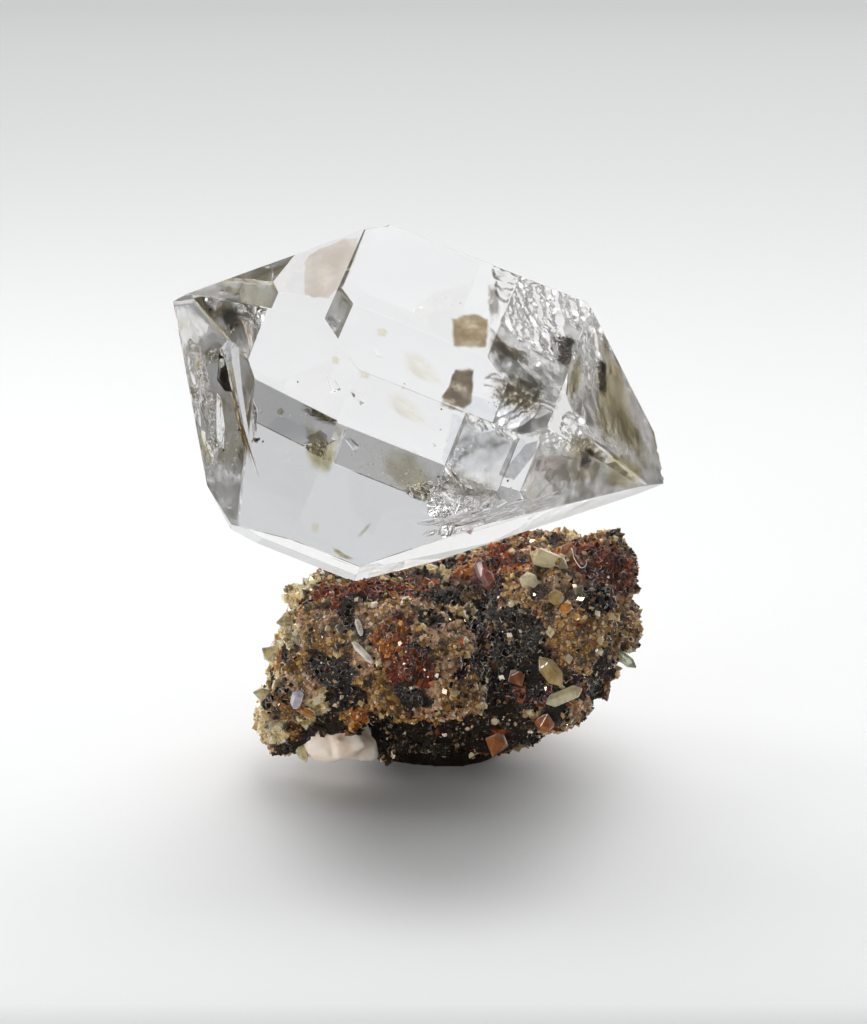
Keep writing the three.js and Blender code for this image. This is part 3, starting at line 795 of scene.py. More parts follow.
def film_mesh(name, corners, seed, planes):
    """A thin closed lens inside the given corners. Its "fade" falls from 1 at its middle to 0 at its rim, and
    its "lie" gives each place along and across it in mm."""
    corners = [Vector(corner) for corner in corners]
    middle = sum(corners, Vector()) / len(corners)
    along = (max(corners, key=lambda corner: (corner - middle).length) - middle).normalized()
    normal = sum(((corner - middle).cross(corners[(k + 1) % len(corners)] - middle)
                  for k, corner in enumerate(corners)), Vector()).normalized()
    across = normal.cross(along)
    outline = []
    for k, corner in enumerate(corners):
        after = corners[(k + 1) % len(corners)]
        outline += [corner.lerp(after, step / 5) for step in range(5)]
    rings, count = 12, len(outline)
    vertices, fades, lies = [], [], []

    def place(share, spot, side):
        jag = 1 + 0.10 * noise.noise(spot * 1.7 + Vector((seed, 0, 0)))
        off = (spot - middle) * share * jag
        vertices.append(kept_inside(at(*(middle + off + normal * side * 0.02 * (1 - share))), planes, 0.06 * MM))
        fades.append(1 - share)
        lies.extend((off.dot(along), off.dot(across), seed * 7.7))

    for side in (1, -1):
        place(0.0, middle, side)
        for ring in range(1, rings + (side > 0)):
            for spot in outline:
                place(ring / rings, spot, side)
    faces = []
    for side, first in ((1, 0), (-1, 1 + rings * count)):
        def ring_spot(ring, spoke):
            if side < 0 and ring == rings:
                return 1 + (rings - 1) * count + spoke
            return first + 1 + (ring - 1) * count + spoke
        for spoke in range(count):
            after = (spoke + 1) % count
            made = [(first, ring_spot(1, spoke), ring_spot(1, after))]
            for ring in range(1, rings):
                made.append((ring_spot(ring, spoke), ring_spot(ring + 1, spoke), ring_spot(ring + 1, after),
                             ring_spot(ring, after)))
            faces += made if side > 0 else [face[::-1] for face in made]
    mesh = mesh_from(name, vertices, faces)
    mesh.attributes.new("fade", "FLOAT", "POINT").data.foreach_set("value", fades)
    mesh.attributes.new("lie", "FLOAT_VECTOR", "POINT").data.foreach_set("vector", lies)
    mesh.polygons.foreach_set("use_smooth", [True] * len(mesh.polygons))
    return mesh


def disc_mesh(name, middle, out, along, half_length, half_width, seed, planes):
    """A thin closed lens just inside a face, whose "fade" attribute falls from 1 at its middle to 0 at its rim."""
    out = Vector(out).normalized()
    along = Vector(along)
    along = (along - out * along.dot(out)).normalized()
    across = out.cross(along)
    rings, spokes = 14, 40
    vertices, fades, faces = [], [], []
    for side in (1, -1):
        vertices.append(kept_inside(at(*middle), planes, (0.09 - 0.02 * side) * MM))
        fades.append(1.0)
        for ring in range(1, rings + (side > 0)):
            share = ring / rings
            for spoke in range(spokes):
                turn = 2 * math.pi * spoke / spokes
                rim = 1 + 0.4 * noise.noise(Vector((math.cos(turn), math.sin(turn), seed * 3.3)) * 1.4)
                place = Vector(middle) + (along * half_length * math.cos(turn)
                                          + across * half_width * math.sin(turn)) * share * rim
                margin = 0.09 - 0.02 * side * (1 - share)
                vertices.append(kept_inside(at(*place), planes, margin * MM))
                fades.append(1 - share)
    far = 1 + rings * spokes
    for side, first in ((1, 0), (-1, far)):
        def ring_spot(ring, spoke):
            if side < 0 and ring == rings:
                return 1 + (rings - 1) * spokes + spoke
            return first + 1 + (ring - 1) * spokes + spoke
        for spoke in range(spokes):
            after = (spoke + 1) % spokes
            made = [(first, ring_spot(1, spoke), ring_spot(1, after))]
            for ring in range(1, rings):
                made.append((ring_spot(ring, spoke), ring_spot(ring + 1, spoke), ring_spot(ring + 1, after),
                             ring_spot(ring, after)))
            faces += made if side > 0 else [face[::-1] for face in made]
    mesh = mesh_from(name, vertices, faces)
    mesh.attributes.new("fade", "FLOAT", "POINT").data.foreach_set("value", fades)
    mesh.polygons.foreach_set("use_smooth", [True] * len(mesh.polygons))
    return mesh


def stain_material(name, drawn_out, colours, strength, mottle=1.5):
    """A film that tints the light passing through it, mottled and thinner towards its rim unless it is a pane."""
    material, tree, shader = new_material(name, Roughness=0.0, IOR=1.0, Transmission_Weight=1.0)
    lie = add_node(tree, "ShaderNodeAttribute", attribute_name="lie")
    drawn = add_node(tree, "ShaderNodeVectorMath", {
        0: lie.outputs["Vector"], 1: (1.0 / drawn_out, 1.0, 1.0),
    }, operation="MULTIPLY")
    cloud = add_node(tree, "ShaderNodeTexNoise", {
        "Vector": drawn.outputs[0], "Scale": mottle, "Detail": 5.0, "Roughness": 0.62,
    })
    ramp = add_node(tree, "ShaderNodeValToRGB", {"Fac": cloud.outputs["Fac"]})
    fill_ramp(ramp, ((0.36, colours[0]), (0.5, colours[1]), (0.66, colours[2])))
    fade = add_node(tree, "ShaderNodeAttribute", attribute_name="fade")
    body = add_node(tree, "ShaderNodeMath", {
        0: fade.outputs["Fac"], 1: {"pane": 12.0, "stain": 4.5}.get(name.rsplit("_")[-1], 1.7),
    }, operation="MULTIPLY", use_clamp=True)
    ragged = add_node(tree, "ShaderNodeMath", {
        0: cloud.outputs["Fac"], 1: -1.2, 2: 0.60,
    }, operation="MULTIPLY_ADD")
    total = add_node(tree, "ShaderNodeMath", {0: body.outputs[0], 1: ragged.outputs[0]}, operation="ADD")
    cover = add_node(tree, "ShaderNodeMapRange", {
        "Value": total.outputs[0], "From Min": 0.10, "From Max": 1.0, "To Min": 0.0, "To Max": strength,
    }, interpolation_type="SMOOTHSTEP")
    tint = add_node(tree, "ShaderNodeMix", {
        0: cover.outputs["Result"], 6: (1.0, 1.0, 1.0, 1.0), 7: ramp.outputs["Color"],
    }, data_type="RGBA")
    tree.links.new(tint.outputs[2], shader.inputs["Base Color"])
    return material


def carbon_material():
    """Matt black to dark brown carbon."""
    material, tree, shader = new_material("black_carbon", Roughness=0.6)
    tone = add_node(tree, "ShaderNodeAttribute", attribute_name="tone")
    ramp = add_node(tree, "ShaderNodeValToRGB", {"Fac": tone.outputs["Fac"]})
    fill_ramp(ramp, ((0.0, (20, 14, 8)), (0.6, (46, 33, 18)), (1.0, (112, 84, 48))))
    tree.links.new(ramp.outputs["Color"], shader.inputs["Base Color"])
    return material


def gold_material():
    """Pale golden grains of pyrite and iron stain."""
    material, tree, shader = new_material("golden_specks", Roughness=0.3, Metallic=0.0)
    tone = add_node(tree, "ShaderNodeAttribute", attribute_name="tone")
    ramp = add_node(tree, "ShaderNodeValToRGB", {"Fac": tone.outputs["Fac"]})
    fill_ramp(ramp, ((0.0, (120, 104, 40)), (0.4, (206, 190, 120)), (1.0, (250, 244, 216))))
    tree.links.new(ramp.outputs["Color"], shader.inputs["Base Color"])
    return material


# Sprinkled specks: middle, direction of the sheet's face, direction of its length, half length and half
# width, spacing and size in mm, and a seed.
SPECKS = {
    "band_specks": ((-0.6, -8.6, -1.9), (-0.123, -0.992, -0.041), (1.0, -0.1, -0.40), 5.6, 1.2, 0.22,
        (0.03, 0.075), 1),
    "upper_specks": ((-6.3, -6.5, 0.6), (-0.672, -0.717, 0.188), (0.7, -0.7, -0.3), 1.6, 0.8, 0.30,
        (0.03, 0.07), 2),
}
LONE_FLECKS = (
    ((2.37, -9.15, 5.0), 0.05), ((-9.0, -5.0, -1.1), 0.07), ((-7.2, -6.2, 2.7), 0.06),
    ((2.1, -8.9, 3.9), 0.06),
    ((-0.9, -8.3, 3.0), 0.05), ((1.2, -8.9, 1.9), 0.06), ((0.5, -8.8, -2.9), 0.08),
    ((-11.0, -2.2, -2.4), 0.09),
    ((1.0, -8.9, -2.0), 0.07), ((4.9, -9.2, -2.2), 0.08), ((-10.3, -3.0, 0.4), 0.08),
    ((-10.2, -3.1, -0.9), 0.10),
)


def build_inclusions(looks):
    planes = hull_planes()
    faces = faces_in_mm(planes)
    for k, (name, (through, depth, corners, *finish)) in enumerate(STAINS.items()):
        if isinstance(depth, tuple):
            depth = sheet_plane(*depth, faces)
        mesh = film_mesh(name, traced(corners, through, depth, faces), k, planes)
        stain = new_piece(name, mesh, stain_material(name, *finish))
        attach(stain, "root")
    tree = druse_tree()
    rhomb = new_piece("rhomb_grain", rhomb_mesh())
    point = new_piece("point_grain", point_mesh())
    carbon, gold = carbon_material(), gold_material()
    sheets = [(name, values[:5], values[5], (0.04, values[6]), values[7], carbon, 1.6)
              for name, values in CARBON.items()]
    sheets += [(name, values[:5], values[5], values[6], values[7], gold, 0.8) for name, values in SPECKS.items()]
    for name, shape, spacing, size, seed, material, fill in sheets:
        mesh = disc_mesh(name, *shape, seed + 20, planes)
        cover = mesh.attributes.new("cover", "FLOAT", "POINT")
        fades = [0.0] * len(mesh.vertices)
        mesh.attributes["fade"].data.foreach_get("value", fades)
        cover.data.foreach_set("value", [min(fade * fill, 1.0) for fade in fades])
        grains = strewn(name, mesh, tree, rhomb, point, material, spacing, size, 0.0, 90, looks.seed + seed)
        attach(grains, "root")
    flecks = bmesh.new()
    for k, (place, radius) in enumerate(LONE_FLECKS):
        middle = kept_inside(at(*place), planes, (radius + 0.1) * MM)
        for vertex in bmesh.ops.create_icosphere(flecks, subdivisions=1, radius=radius * MM)["verts"]:
            vertex.co = middle + vertex.co * (1 + 0.5 * noise.noise(vertex.co / MM * 9 + Vector((k, k, 0))))
    mesh = bpy.data.meshes.new("lone_flecks")
    flecks.to_mesh(mesh)
    flecks.free()
    tones = mesh.attributes.new("tone", "FLOAT", "POINT")
    tones.data.foreach_set("value", [0.2] * len(mesh.vertices))
    fleck_piece = new_piece("lone_flecks", mesh, carbon)
    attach(fleck_piece, "root")
    for helper in (rhomb, point):
        bpy.data.meshes.remove(helper.data)


# ---------- the stone ----------

VOXEL = 0.14  # mm, the step of the rock's remeshed surface
SOCKET_REACH = 0.5  # mm, how far the rock is drawn in to hold a small crystal

# What grows where on the stone: middle in mm, and how far it spreads.
GROWTHS = {
    "rust": (
        ((-5.4, -6.0, -9.9), 1.3), ((-3.4, -6.3, -8.9), 1.6), ((-1.7, -3.8, -10.2), 1.9),
        ((0.6, -3.6, -10.3), 1.2),
        ((10.6, -3.8, -9.0), 1.9), ((11.8, -3.3, -9.6), 1.4), ((9.4, -2.4, -8.4), 1.2),
        ((-0.4, -10.2, -12.9), 1.3),
        ((4.3, -1.9, -9.9), 1.6), ((5.9, -7.4, -15.2), 0.8), ((7.3, -7.1, -17.2), 0.7),
        ((-1.0, -10.3, -11.2), 0.6),
    ),
    "orange": (
        ((-1.7, -9.8, -10.9), 1.1), ((2.9, -1.6, -9.8), 0.9), ((8.2, -2.6, -8.4), 0.8),
        ((4.4, -6.9, -18.0), 0.8),
        ((3.2, -10.0, -14.0), 0.7), ((-3.6, -9.6, -15.9), 0.8),
    ),
    "dark": (
        ((-5.2, -9.7, -13.0), 1.15), ((-4.1, -9.7, -14.7), 1.15), ((5.6, -6.9, -11.8), 1.6),
        ((5.2, -6.8, -13.9), 1.6),
        ((6.6, -7.4, -13.2), 1.1), ((4.7, -6.9, -16.0), 1.2), ((4.1, -4.6, -10.4), 1.4),
        ((6.4, -7.2, -15.0), 0.9),
        ((0.2, -6.8, -18.2), 2.6), ((3.0, -6.6, -17.9), 1.8), ((-2.4, -6.2, -18.7), 1.8),
        ((10.6, -6.8, -14.0), 0.9),
        ((0.6, -8.6, -10.6), 0.9), ((-3.6, -7.6, -9.9), 0.8), ((1.0, -5.2, -20.0), 2.0),
        ((10.2, -6.3, -10.3), 1.3),
        ((1.6, -2.4, -11.6), 0.9), ((-0.7, -10.4, -14.2), 0.9), ((2.4, -7.6, -10.8), 0.8),
        ((7.8, -7.3, -16.4), 0.9),
    ),
    "sugar": (
        ((-2.6, -9.0, -10.1), 1.1), ((0.7, -9.4, -11.2), 0.9), ((2.5, -8.9, -11.6), 0.9),
        ((6.9, -6.2, -9.2), 1.2),
        ((9.2, -6.7, -17.0), 1.3), ((-3.0, -10.0, -12.2), 0.9), ((1.5, -10.0, -12.6), 0.8),
    ),
    "honey": (
        ((9.4, -7.6, -12.2), 1.6), ((10.6, -7.0, -11.4), 1.5), ((12.2, -5.0, -12.2), 1.9),
        ((-4.8, -9.8, -11.4), 1.1),
        ((2.9, -9.9, -14.2), 1.0), ((-1.9, -10.2, -14.9), 1.0), ((8.0, -6.6, -10.6), 0.8),
        ((6.9, -5.4, -8.4), 0.9),
        ((-3.9, -9.6, -16.0), 0.7), ((1.9, -10.6, -14.6), 0.8), ((-7.3, -8.9, -15.4), 1.2),
        ((-7.2, -9.0, -12.6), 1.1),
    ),
    "olive": (
        ((-8.8, -4.2, -14.2), 2.1), ((-7.9, -4.6, -11.3), 1.6), ((-9.6, -4.7, -16.8), 2.1),
        ((-8.2, -8.5, -13.8), 0.9),
        ((-8.4, -8.0, -17.0), 1.1), ((-7.2, -8.6, -11.8), 0.9), ((-7.4, -3.0, -11.0), 1.8),
        ((-6.8, -3.4, -9.6), 1.2),
        ((12.0, -4.5, -14.4), 1.0), ((8.0, -3.6, -8.0), 0.9),
    ),
}
KINDS = tuple(GROWTHS)


def growth_at(point):
    """Which growth covers a place on the stone, in mm from the crystal's centre."""
    fray = 0.30 * octaves(point + Vector((9.1, 2.3, 4.7)), 0.9, 3, 0.6)
    best, kind = 0.0, None
    for name, patches in GROWTHS.items():
        for middle, reach in patches:
            away = (point - Vector(middle)).length
            if away < reach * 1.6:
                claim = 1 - away / reach + fray
                if claim > best:
                    best, kind = claim, name
    if kind:
        return kind
    # Elsewhere the growths alternate in patches a few millimetres wide.
    claims = {
        "rust": octaves(point + Vector((0, 31, 0)), 3.4, 3, 0.6) - 0.10,
        "orange": octaves(point + Vector((17, 0, 0)), 2.6, 3, 0.6) - 0.24,
        "dark": octaves(point + Vector((0, 0, 53)), 2.2, 3, 0.6) + 0.10 - 0.03 * (point.z + 14),
        "sugar": octaves(point + Vector((71, 0, 0)), 3.0, 3, 0.6),
        "honey": octaves(point + Vector((0, 97, 0)), 3.2, 3, 0.6) + 0.06,
        "olive": octaves(point + Vector((43, 0, 29)), 3.0, 3, 0.6) - 0.12,
    }
    return max(claims, key=claims.get)


def zone_tint(tree, ramps, tone):
    """Mixes a colour ramp for each growth by the stone's growth attributes, and paints shade into its hollows."""
    mixed = None
    for kind, stops in ramps.items():
        ramp = add_node(tree, "ShaderNodeValToRGB", {"Fac": tone})
        fill_ramp(ramp, stops)
        if mixed is None:
            mixed = ramp.outputs["Color"]
            continue
        share = add_node(tree, "ShaderNodeAttribute", attribute_name=kind)
        mix = add_node(tree, "ShaderNodeMix", {0: share.outputs["Fac"], 6: mixed, 7: ramp.outputs["Color"]},
                          data_type="RGBA")
        mixed = mix.outputs[2]
    # Painted shade: the creases marked by the "hollow" attribute are darkened towards near black.
    hollow = add_node(tree, "ShaderNodeAttribute", attribute_name="hollow")
    painted_crevice_shade = add_node(tree, "ShaderNodeMath", {0: hollow.outputs["Fac"], 1: 0.88}, operation="MULTIPLY")
    return add_node(tree, "ShaderNodeMix", {0: painted_crevice_shade.outputs[0], 6: mixed, 7: rgba(26, 17, 9)},
                       data_type="RGBA").outputs[2]


def fill_ramp(ramp, stops):
    elements = ramp.color_ramp.elements
    while len(elements) > 1:
        elements.remove(elements[-1])
    for k, (position, colour) in enumerate(stops):
        element = elements[0] if k == 0 else elements.new(position)
        element.position = position
        element.color = rgba(*colour)


# Colours of each growth from its darkest to its palest grains.
PALETTE = {
    "rust": ((0.0, (34, 10, 4)), (0.35, (94, 35, 13)), (0.7, (154, 72, 30)), (1.0, (232, 156, 100))),
    "orange": ((0.0, (80, 36, 8)), (0.35, (144, 72, 20)), (0.7, (206, 130, 50)), (1.0, (250, 206, 132))),
    "dark": ((0.0, (8, 5, 2)), (0.5, (27, 19, 10)), (0.85, (74, 55, 33)), (1.0, (214, 192, 160))),
    "sugar": ((0.0, (62, 40, 24)), (0.3, (158, 120, 84)), (0.7, (226, 190, 152)), (1.0, (255, 242, 222))),
    "honey": ((0.0, (46, 29, 10)), (0.35, (122, 84, 36)), (0.7, (196, 150, 78)), (1.0, (252, 226, 168))),
    "olive": ((0.0, (140, 112, 62)), (0.35, (212, 184, 126)), (0.7, (244, 228, 184)), (1.0, (255, 250, 234))),
}


def rock_material():
    """The stone beneath the druse: dark mottled dolostone, stained like what grows on it."""
    material, tree, shader = new_material("drusy_dolostone", Roughness=0.45, IOR=1.6, Specular_IOR_Level=0.2)
    where = add_node(tree, "ShaderNodeTexCoord")
    mottle = add_node(tree, "ShaderNodeTexNoise", {
        "Vector": where.outputs["Object"], "Scale": 2.6 / MM, "Detail": 5.0, "Roughness": 0.7,
    })
    spread = add_node(tree, "ShaderNodeMapRange", {
        "Value": mottle.outputs["Fac"], "From Min": 0.30, "From Max": 0.78, "To Min": 0.0, "To Max": 0.8,
    })
    tint = zone_tint(tree, PALETTE, spread.outputs["Result"])
    tree.links.new(tint, shader.inputs["Base Color"])
    sheen = add_node(tree, "ShaderNodeMapRange", {
        "Value": mottle.outputs["Fac"], "From Min": 0.4, "From Max": 0.7, "To Min": 0.65, "To Max": 0.25,
    })
    tree.links.new(sheen.outputs["Result"], shader.inputs["Roughness"])
    crumbs = add_node(tree, "ShaderNodeTexVoronoi", {
        "Vector": where.outputs["Object"], "Scale": 7.0 / MM, "Randomness": 1.0,
    })
    relief = add_node(tree, "ShaderNodeBump", {
        "Height": crumbs.outputs["Distance"], "Strength": 0.8, "Distance": 0.08 * MM,
    })
    tree.links.new(relief.outputs["Normal"], shader.inputs["Normal"])
    return material


def build_rock(looks):
    """The stone's solid, remeshed finely, drawn in around the small crystals and crumpled."""
    body = merged_solid("matrix_stone")
    mesh = bpy.data.meshes.new("dolostone_rock")
    body.to_mesh(mesh)
    body.free()
    rock = out_of_reflections(new_piece("dolostone_rock", mesh))
    remesh = rock.modifiers.new("remesh", "REMESH")
    remesh.mode = "VOXEL"
    remesh.voxel_size = VOXEL * MM
    baked(rock)
    held = bmesh.new()
    for node in SMALL_CRYSTALS:
        copy = dressed_crystal(node)
        copied = bpy.data.meshes.new("held")
        copy.to_mesh(copied)
        copy.free()
        held.from_mesh(copied)
        bpy.data.meshes.remove(copied)
    lump = merged_solid("white_dolomite")
    sockets = ((BVHTree.FromBMesh(held), SOCKET_REACH, 0.03), (BVHTree.FromBMesh(lump), 0.9, 0.45))
    held.free()
    lump.free()
    mesh = rock.data
    body = bmesh.new()
    body.from_mesh(mesh)
    bmesh.ops.smooth_vert(body, verts=body.verts, factor=0.5, use_axis_x=True, use_axis_y=True, use_axis_z=True)
    body.normal_update()
    bare = body.verts.layers.float.new("bare")
    moves, hollows = [], []
    for vertex in body.verts:
        point = (vertex.co - CENTRE) / MM
        pull, target = 0.0, vertex.co
        for nearby, reach, sink in sockets:
            spot, direction, index, away = nearby.find_nearest(vertex.co, reach * MM)
            if spot is not None and 1 - smooth_step(0.68 * reach * MM, reach * MM, away) > pull:
                pull = 1 - smooth_step(0.68 * reach * MM, reach * MM, away)
                target = spot - direction * sink * MM
        lumps = looks.lumps / MM * octaves(point, 1.7, 3, 0.55)
        crumble = crumpled(point + Vector((5, 5, 5)), 0.85, 3)
        crumbs = looks.crumbs / MM * (crumble - 0.4)
        # How far down in a crease each place lies, for the painted shade in the creases.
        hollows.append(1 - smooth_step(0.16, 0.62, crumble + 0.45 * octaves(point, 2.1, 2)))
        low = max(0.0, -CENTRE.z / MM + 0.9 - point.z) / 0.9
        grown = vertex.co + vertex.normal * ((lumps + crumbs) * MM * (1 - min(low, 1.0)))
        vertex[bare] = pull
        moves.append((vertex, grown.lerp(target, pull)))
    for vertex, place in moves:
        vertex.co = place
        vertex.co.z = max(vertex.co.z, 0.0)
    for face in body.faces:
        face.smooth = True
    body.to_mesh(mesh)
    body.free()
    mesh.attributes.new("hollow", "FLOAT", "POINT").data.foreach_set("value", hollows)
    grown = [growth_at((vertex.co - CENTRE) / MM) for vertex in mesh.vertices]
    for kind in KINDS:
        share = mesh.attributes.new(kind, "FLOAT", "POINT")
        share.data.foreach_set("value", [float(name == kind) for name in grown])
    mesh.materials.append(rock_material())
    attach(rock, "root")
    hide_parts("matrix_stone")
    return rock


# ---------- the druse ----------

def rhomb_mesh():
    """A dolomite rhomb with edges of 1, standing on its long diagonal."""
    edge_angle = math.radians(73.3)
    lean = math.asin(2 / math.sqrt(3) * math.sin(edge_angle / 2))
    edges = [Vector((math.sin(lean) * math.cos(turn), math.sin(lean) * math.sin(turn), math.cos(lean)))
             for turn in (0, 2 * math.pi / 3, 4 * math.pi / 3)]
    corners = [sum((edges[k] for k in range(3) if corner >> k & 1), Vector()) for corner in range(8)]
    middle = sum(edges, Vector()) / 2
    faces = [(0, 2, 3, 1), (4, 5, 7, 6), (0, 1, 5, 4), (2, 6, 7, 3), (0, 4, 6, 2), (1, 3, 7, 5)]
    return mesh_from("rhomb", [corner - middle for corner in corners], faces)


def point_mesh():
    """A quartz point of height 1 that tapers a little and ends in a six-sided tip."""
    rings = ((-0.5, 0.24), (0.18, 0.21))
    vertices = [Vector((radius * math.cos(k * math.pi / 3), radius * math.sin(k * math.pi / 3), z))
                for z, radius in rings for k in range(6)]
    vertices.append(Vector((0.02, 0.015, 0.5)))
    faces = [tuple(range(5, -1, -1))]
    faces += [(k, (k + 1) % 6, (k + 1) % 6 + 6, k + 6) for k in range(6)]
    faces += [(k + 6, (k + 1) % 6 + 6, 12) for k in range(6)]
    return mesh_from("point", vertices, faces)


def druse_tree():
    """Geometry Nodes that strew two kinds of grain over a surface where its "cover" attribute is high."""
    tree = bpy.data.node_groups.new("druse", "GeometryNodeTree")
    face = tree.interface
    face.new_socket("Geometry", in_out="INPUT", socket_type="NodeSocketGeometry")
    for name in ("Grain", "Other Grain"):
        face.new_socket(name, in_out="INPUT", socket_type="NodeSocketObject")
    for name in ("Spacing", "Density", "Least Size", "Most Size", "Sink", "Tilt"):
        face.new_socket(name, in_out="INPUT", socket_type="NodeSocketFloat")
    face.new_socket("Seed", in_out="INPUT", socket_type="NodeSocketInt")
    face.new_socket("Material", in_out="INPUT", socket_type="NodeSocketMaterial")
    face.new_socket("Geometry", in_out="OUTPUT", socket_type="NodeSocketGeometry")
    given = tree.nodes.new("NodeGroupInput").outputs
    cover = add_node(tree, "GeometryNodeInputNamedAttribute", {"Name": "cover"}, data_type="FLOAT")
    spots = add_node(tree, "GeometryNodeDistributePointsOnFaces", {
        "Mesh": given["Geometry"], "Distance Min": given["Spacing"], "Density Max": given["Density"],
        "Density Factor": cover.outputs[0], "Seed": given["Seed"],
    }, distribute_method="POISSON")
    depth = add_node(tree, "ShaderNodeMath", {0: given["Sink"], 1: -1.0}, operation="MULTIPLY")
    inward = add_node(tree, "ShaderNodeVectorMath", {
        0: spots.outputs["Normal"], "Scale": depth.outputs[0],
    }, operation="SCALE")
    sunk = add_node(tree, "GeometryNodeSetPosition", {
        "Geometry": spots.outputs["Points"], "Offset": inward.outputs[0],
    })
    grains = tree.nodes.new("GeometryNodeJoinGeometry")
    for name in ("Other Grain", "Grain"):
        shape = add_node(tree, "GeometryNodeObjectInfo", {"Object": given[name], "As Instance": True})
        tree.links.new(shape.outputs["Geometry"], grains.inputs["Geometry"])
    chance = add_node(tree, "FunctionNodeRandomValue", {2: 0.0, 3: 1.0, 8: 11}, data_type="FLOAT")
    skewed = add_node(tree, "ShaderNodeMath", {0: chance.outputs[1], 1: 2.2}, operation="POWER")
    size = add_node(tree, "ShaderNodeMapRange", {
        "Value": skewed.outputs[0], "To Min": given["Least Size"], "To Max": given["Most Size"],
    })
    less_tilt = add_node(tree, "ShaderNodeMath", {0: given["Tilt"], 1: -1.0}, operation="MULTIPLY")
    low = add_node(tree, "ShaderNodeCombineXYZ", {
        0: less_tilt.outputs[0], 1: less_tilt.outputs[0], 2: 0.0,
    })
    high = add_node(tree, "ShaderNodeCombineXYZ", {0: given["Tilt"], 1: given["Tilt"], 2: 6.283})
    lean = add_node(tree, "FunctionNodeRandomValue", {
        0: low.outputs[0], 1: high.outputs[0], 8: 23,
    }, data_type="FLOAT_VECTOR")
    turn = add_node(tree, "FunctionNodeEulerToRotation", {0: lean.outputs[0]})
    aim = add_node(tree, "FunctionNodeRotateRotation", {
        "Rotation": spots.outputs["Rotation"], "Rotate By": turn.outputs[0],
    }, rotation_space="LOCAL")
    strewn = add_node(tree, "GeometryNodeInstanceOnPoints", {
        "Points": sunk.outputs[0], "Instance": grains.outputs[0], "Pick Instance": True,
        "Rotation": aim.outputs[0], "Scale": size.outputs[0],
    })
    tone = add_node(tree, "FunctionNodeRandomValue", {2: 0.0, 3: 1.0, 8: 37}, data_type="FLOAT")
    toned = add_node(tree, "GeometryNodeStoreNamedAttribute", {
        "Geometry": strewn.outputs[0], "Name": "tone", "Value": tone.outputs[1],
    }, data_type="FLOAT", domain="INSTANCE")
    real = add_node(tree, "GeometryNodeRealizeInstances", {"Geometry": toned.outputs[0]})
    finish = add_node(tree, "GeometryNodeSetMaterial", {
        "Geometry": real.outputs[0], "Material": given["Material"],
    })
    output = tree.nodes.new("NodeGroupOutput")
    tree.links.new(finish.outputs[0], output.inputs["Geometry"])
    return tree


# Each druse: how its grains cover the growths (0 to 1), spacing, least and most size in mm, share that sinks
# into the rock, tilt in degrees, how clear its grains are, and its roughness.
DRUSES = {
    "rusty_druse": {
        "cover": {"rust": 1.0, "orange": 1.0, "dark": 0.04, "sugar": 0.03, "honey": 0.03},
        "spacing": 0.13, "size": (0.09, 0.32), "sink": 0.02, "tilt": 60, "clear": 0.06, "roughness": 0.16,
    },
    "smoky_druse": {
        "cover": {"dark": 1.0, "sugar": 0.08, "rust": 0.08, "honey": 0.08, "orange": 0.05},
        "spacing": 0.15, "size": (0.09, 0.30), "sink": 0.02, "tilt": 60, "clear": 0.06, "roughness": 0.14,
    },
    "sugary_druse": {
        "cover": {"sugar": 1.0, "honey": 0.16, "dark": 0.10, "rust": 0.05, "orange": 0.08},
        "spacing": 0.12, "size": (0.08, 0.25), "sink": 0.02, "tilt": 60, "clear": 0.08, "roughness": 0.16,
    },
    "honey_druse": {
        "cover": {"honey": 1.0, "sugar": 0.18, "orange": 0.12, "rust": 0.05, "dark": 0.05},
        "spacing": 0.13, "size": (0.09, 0.30), "sink": 0.02, "tilt": 60, "clear": 0.10, "roughness": 0.14,
    },
    "olive_druse": {
        "cover": {"olive": 1.0, "honey": 0.12, "sugar": 0.05},
        "spacing": 0.15, "size": (0.12, 0.42), "sink": 0.02, "tilt": 55, "clear": 0.28, "roughness": 0.10,
    },
    "olive_points": {
        "cover": {"olive": 1.0, "honey": 0.10, "sugar": 0.04, "orange": 0.06},
        "spacing": 0.42, "size": (0.40, 1.15), "sink": 0.02, "tilt": 34, "clear": 0.35, "roughness": 0.08,
    },
    "smoky_points": {
        "cover": {"dark": 0.30, "honey": 0.22, "sugar": 0.18, "rust": 0.12},
        "spacing": 0.45, "size": (0.28, 0.60), "sink": 0.02, "tilt": 50, "clear": 0.45, "roughness": 0.08,
    },
}
DRUSE_TINTS = {"rusty_druse": ("rust", "orange"), "smoky_druse": ("dark",), "sugary_druse": ("sugar",),
               "honey_druse": ("honey",), "olive_druse": ("olive",), "olive_points": ("olive", "honey"),
               "smoky_points": ("sugar",)}


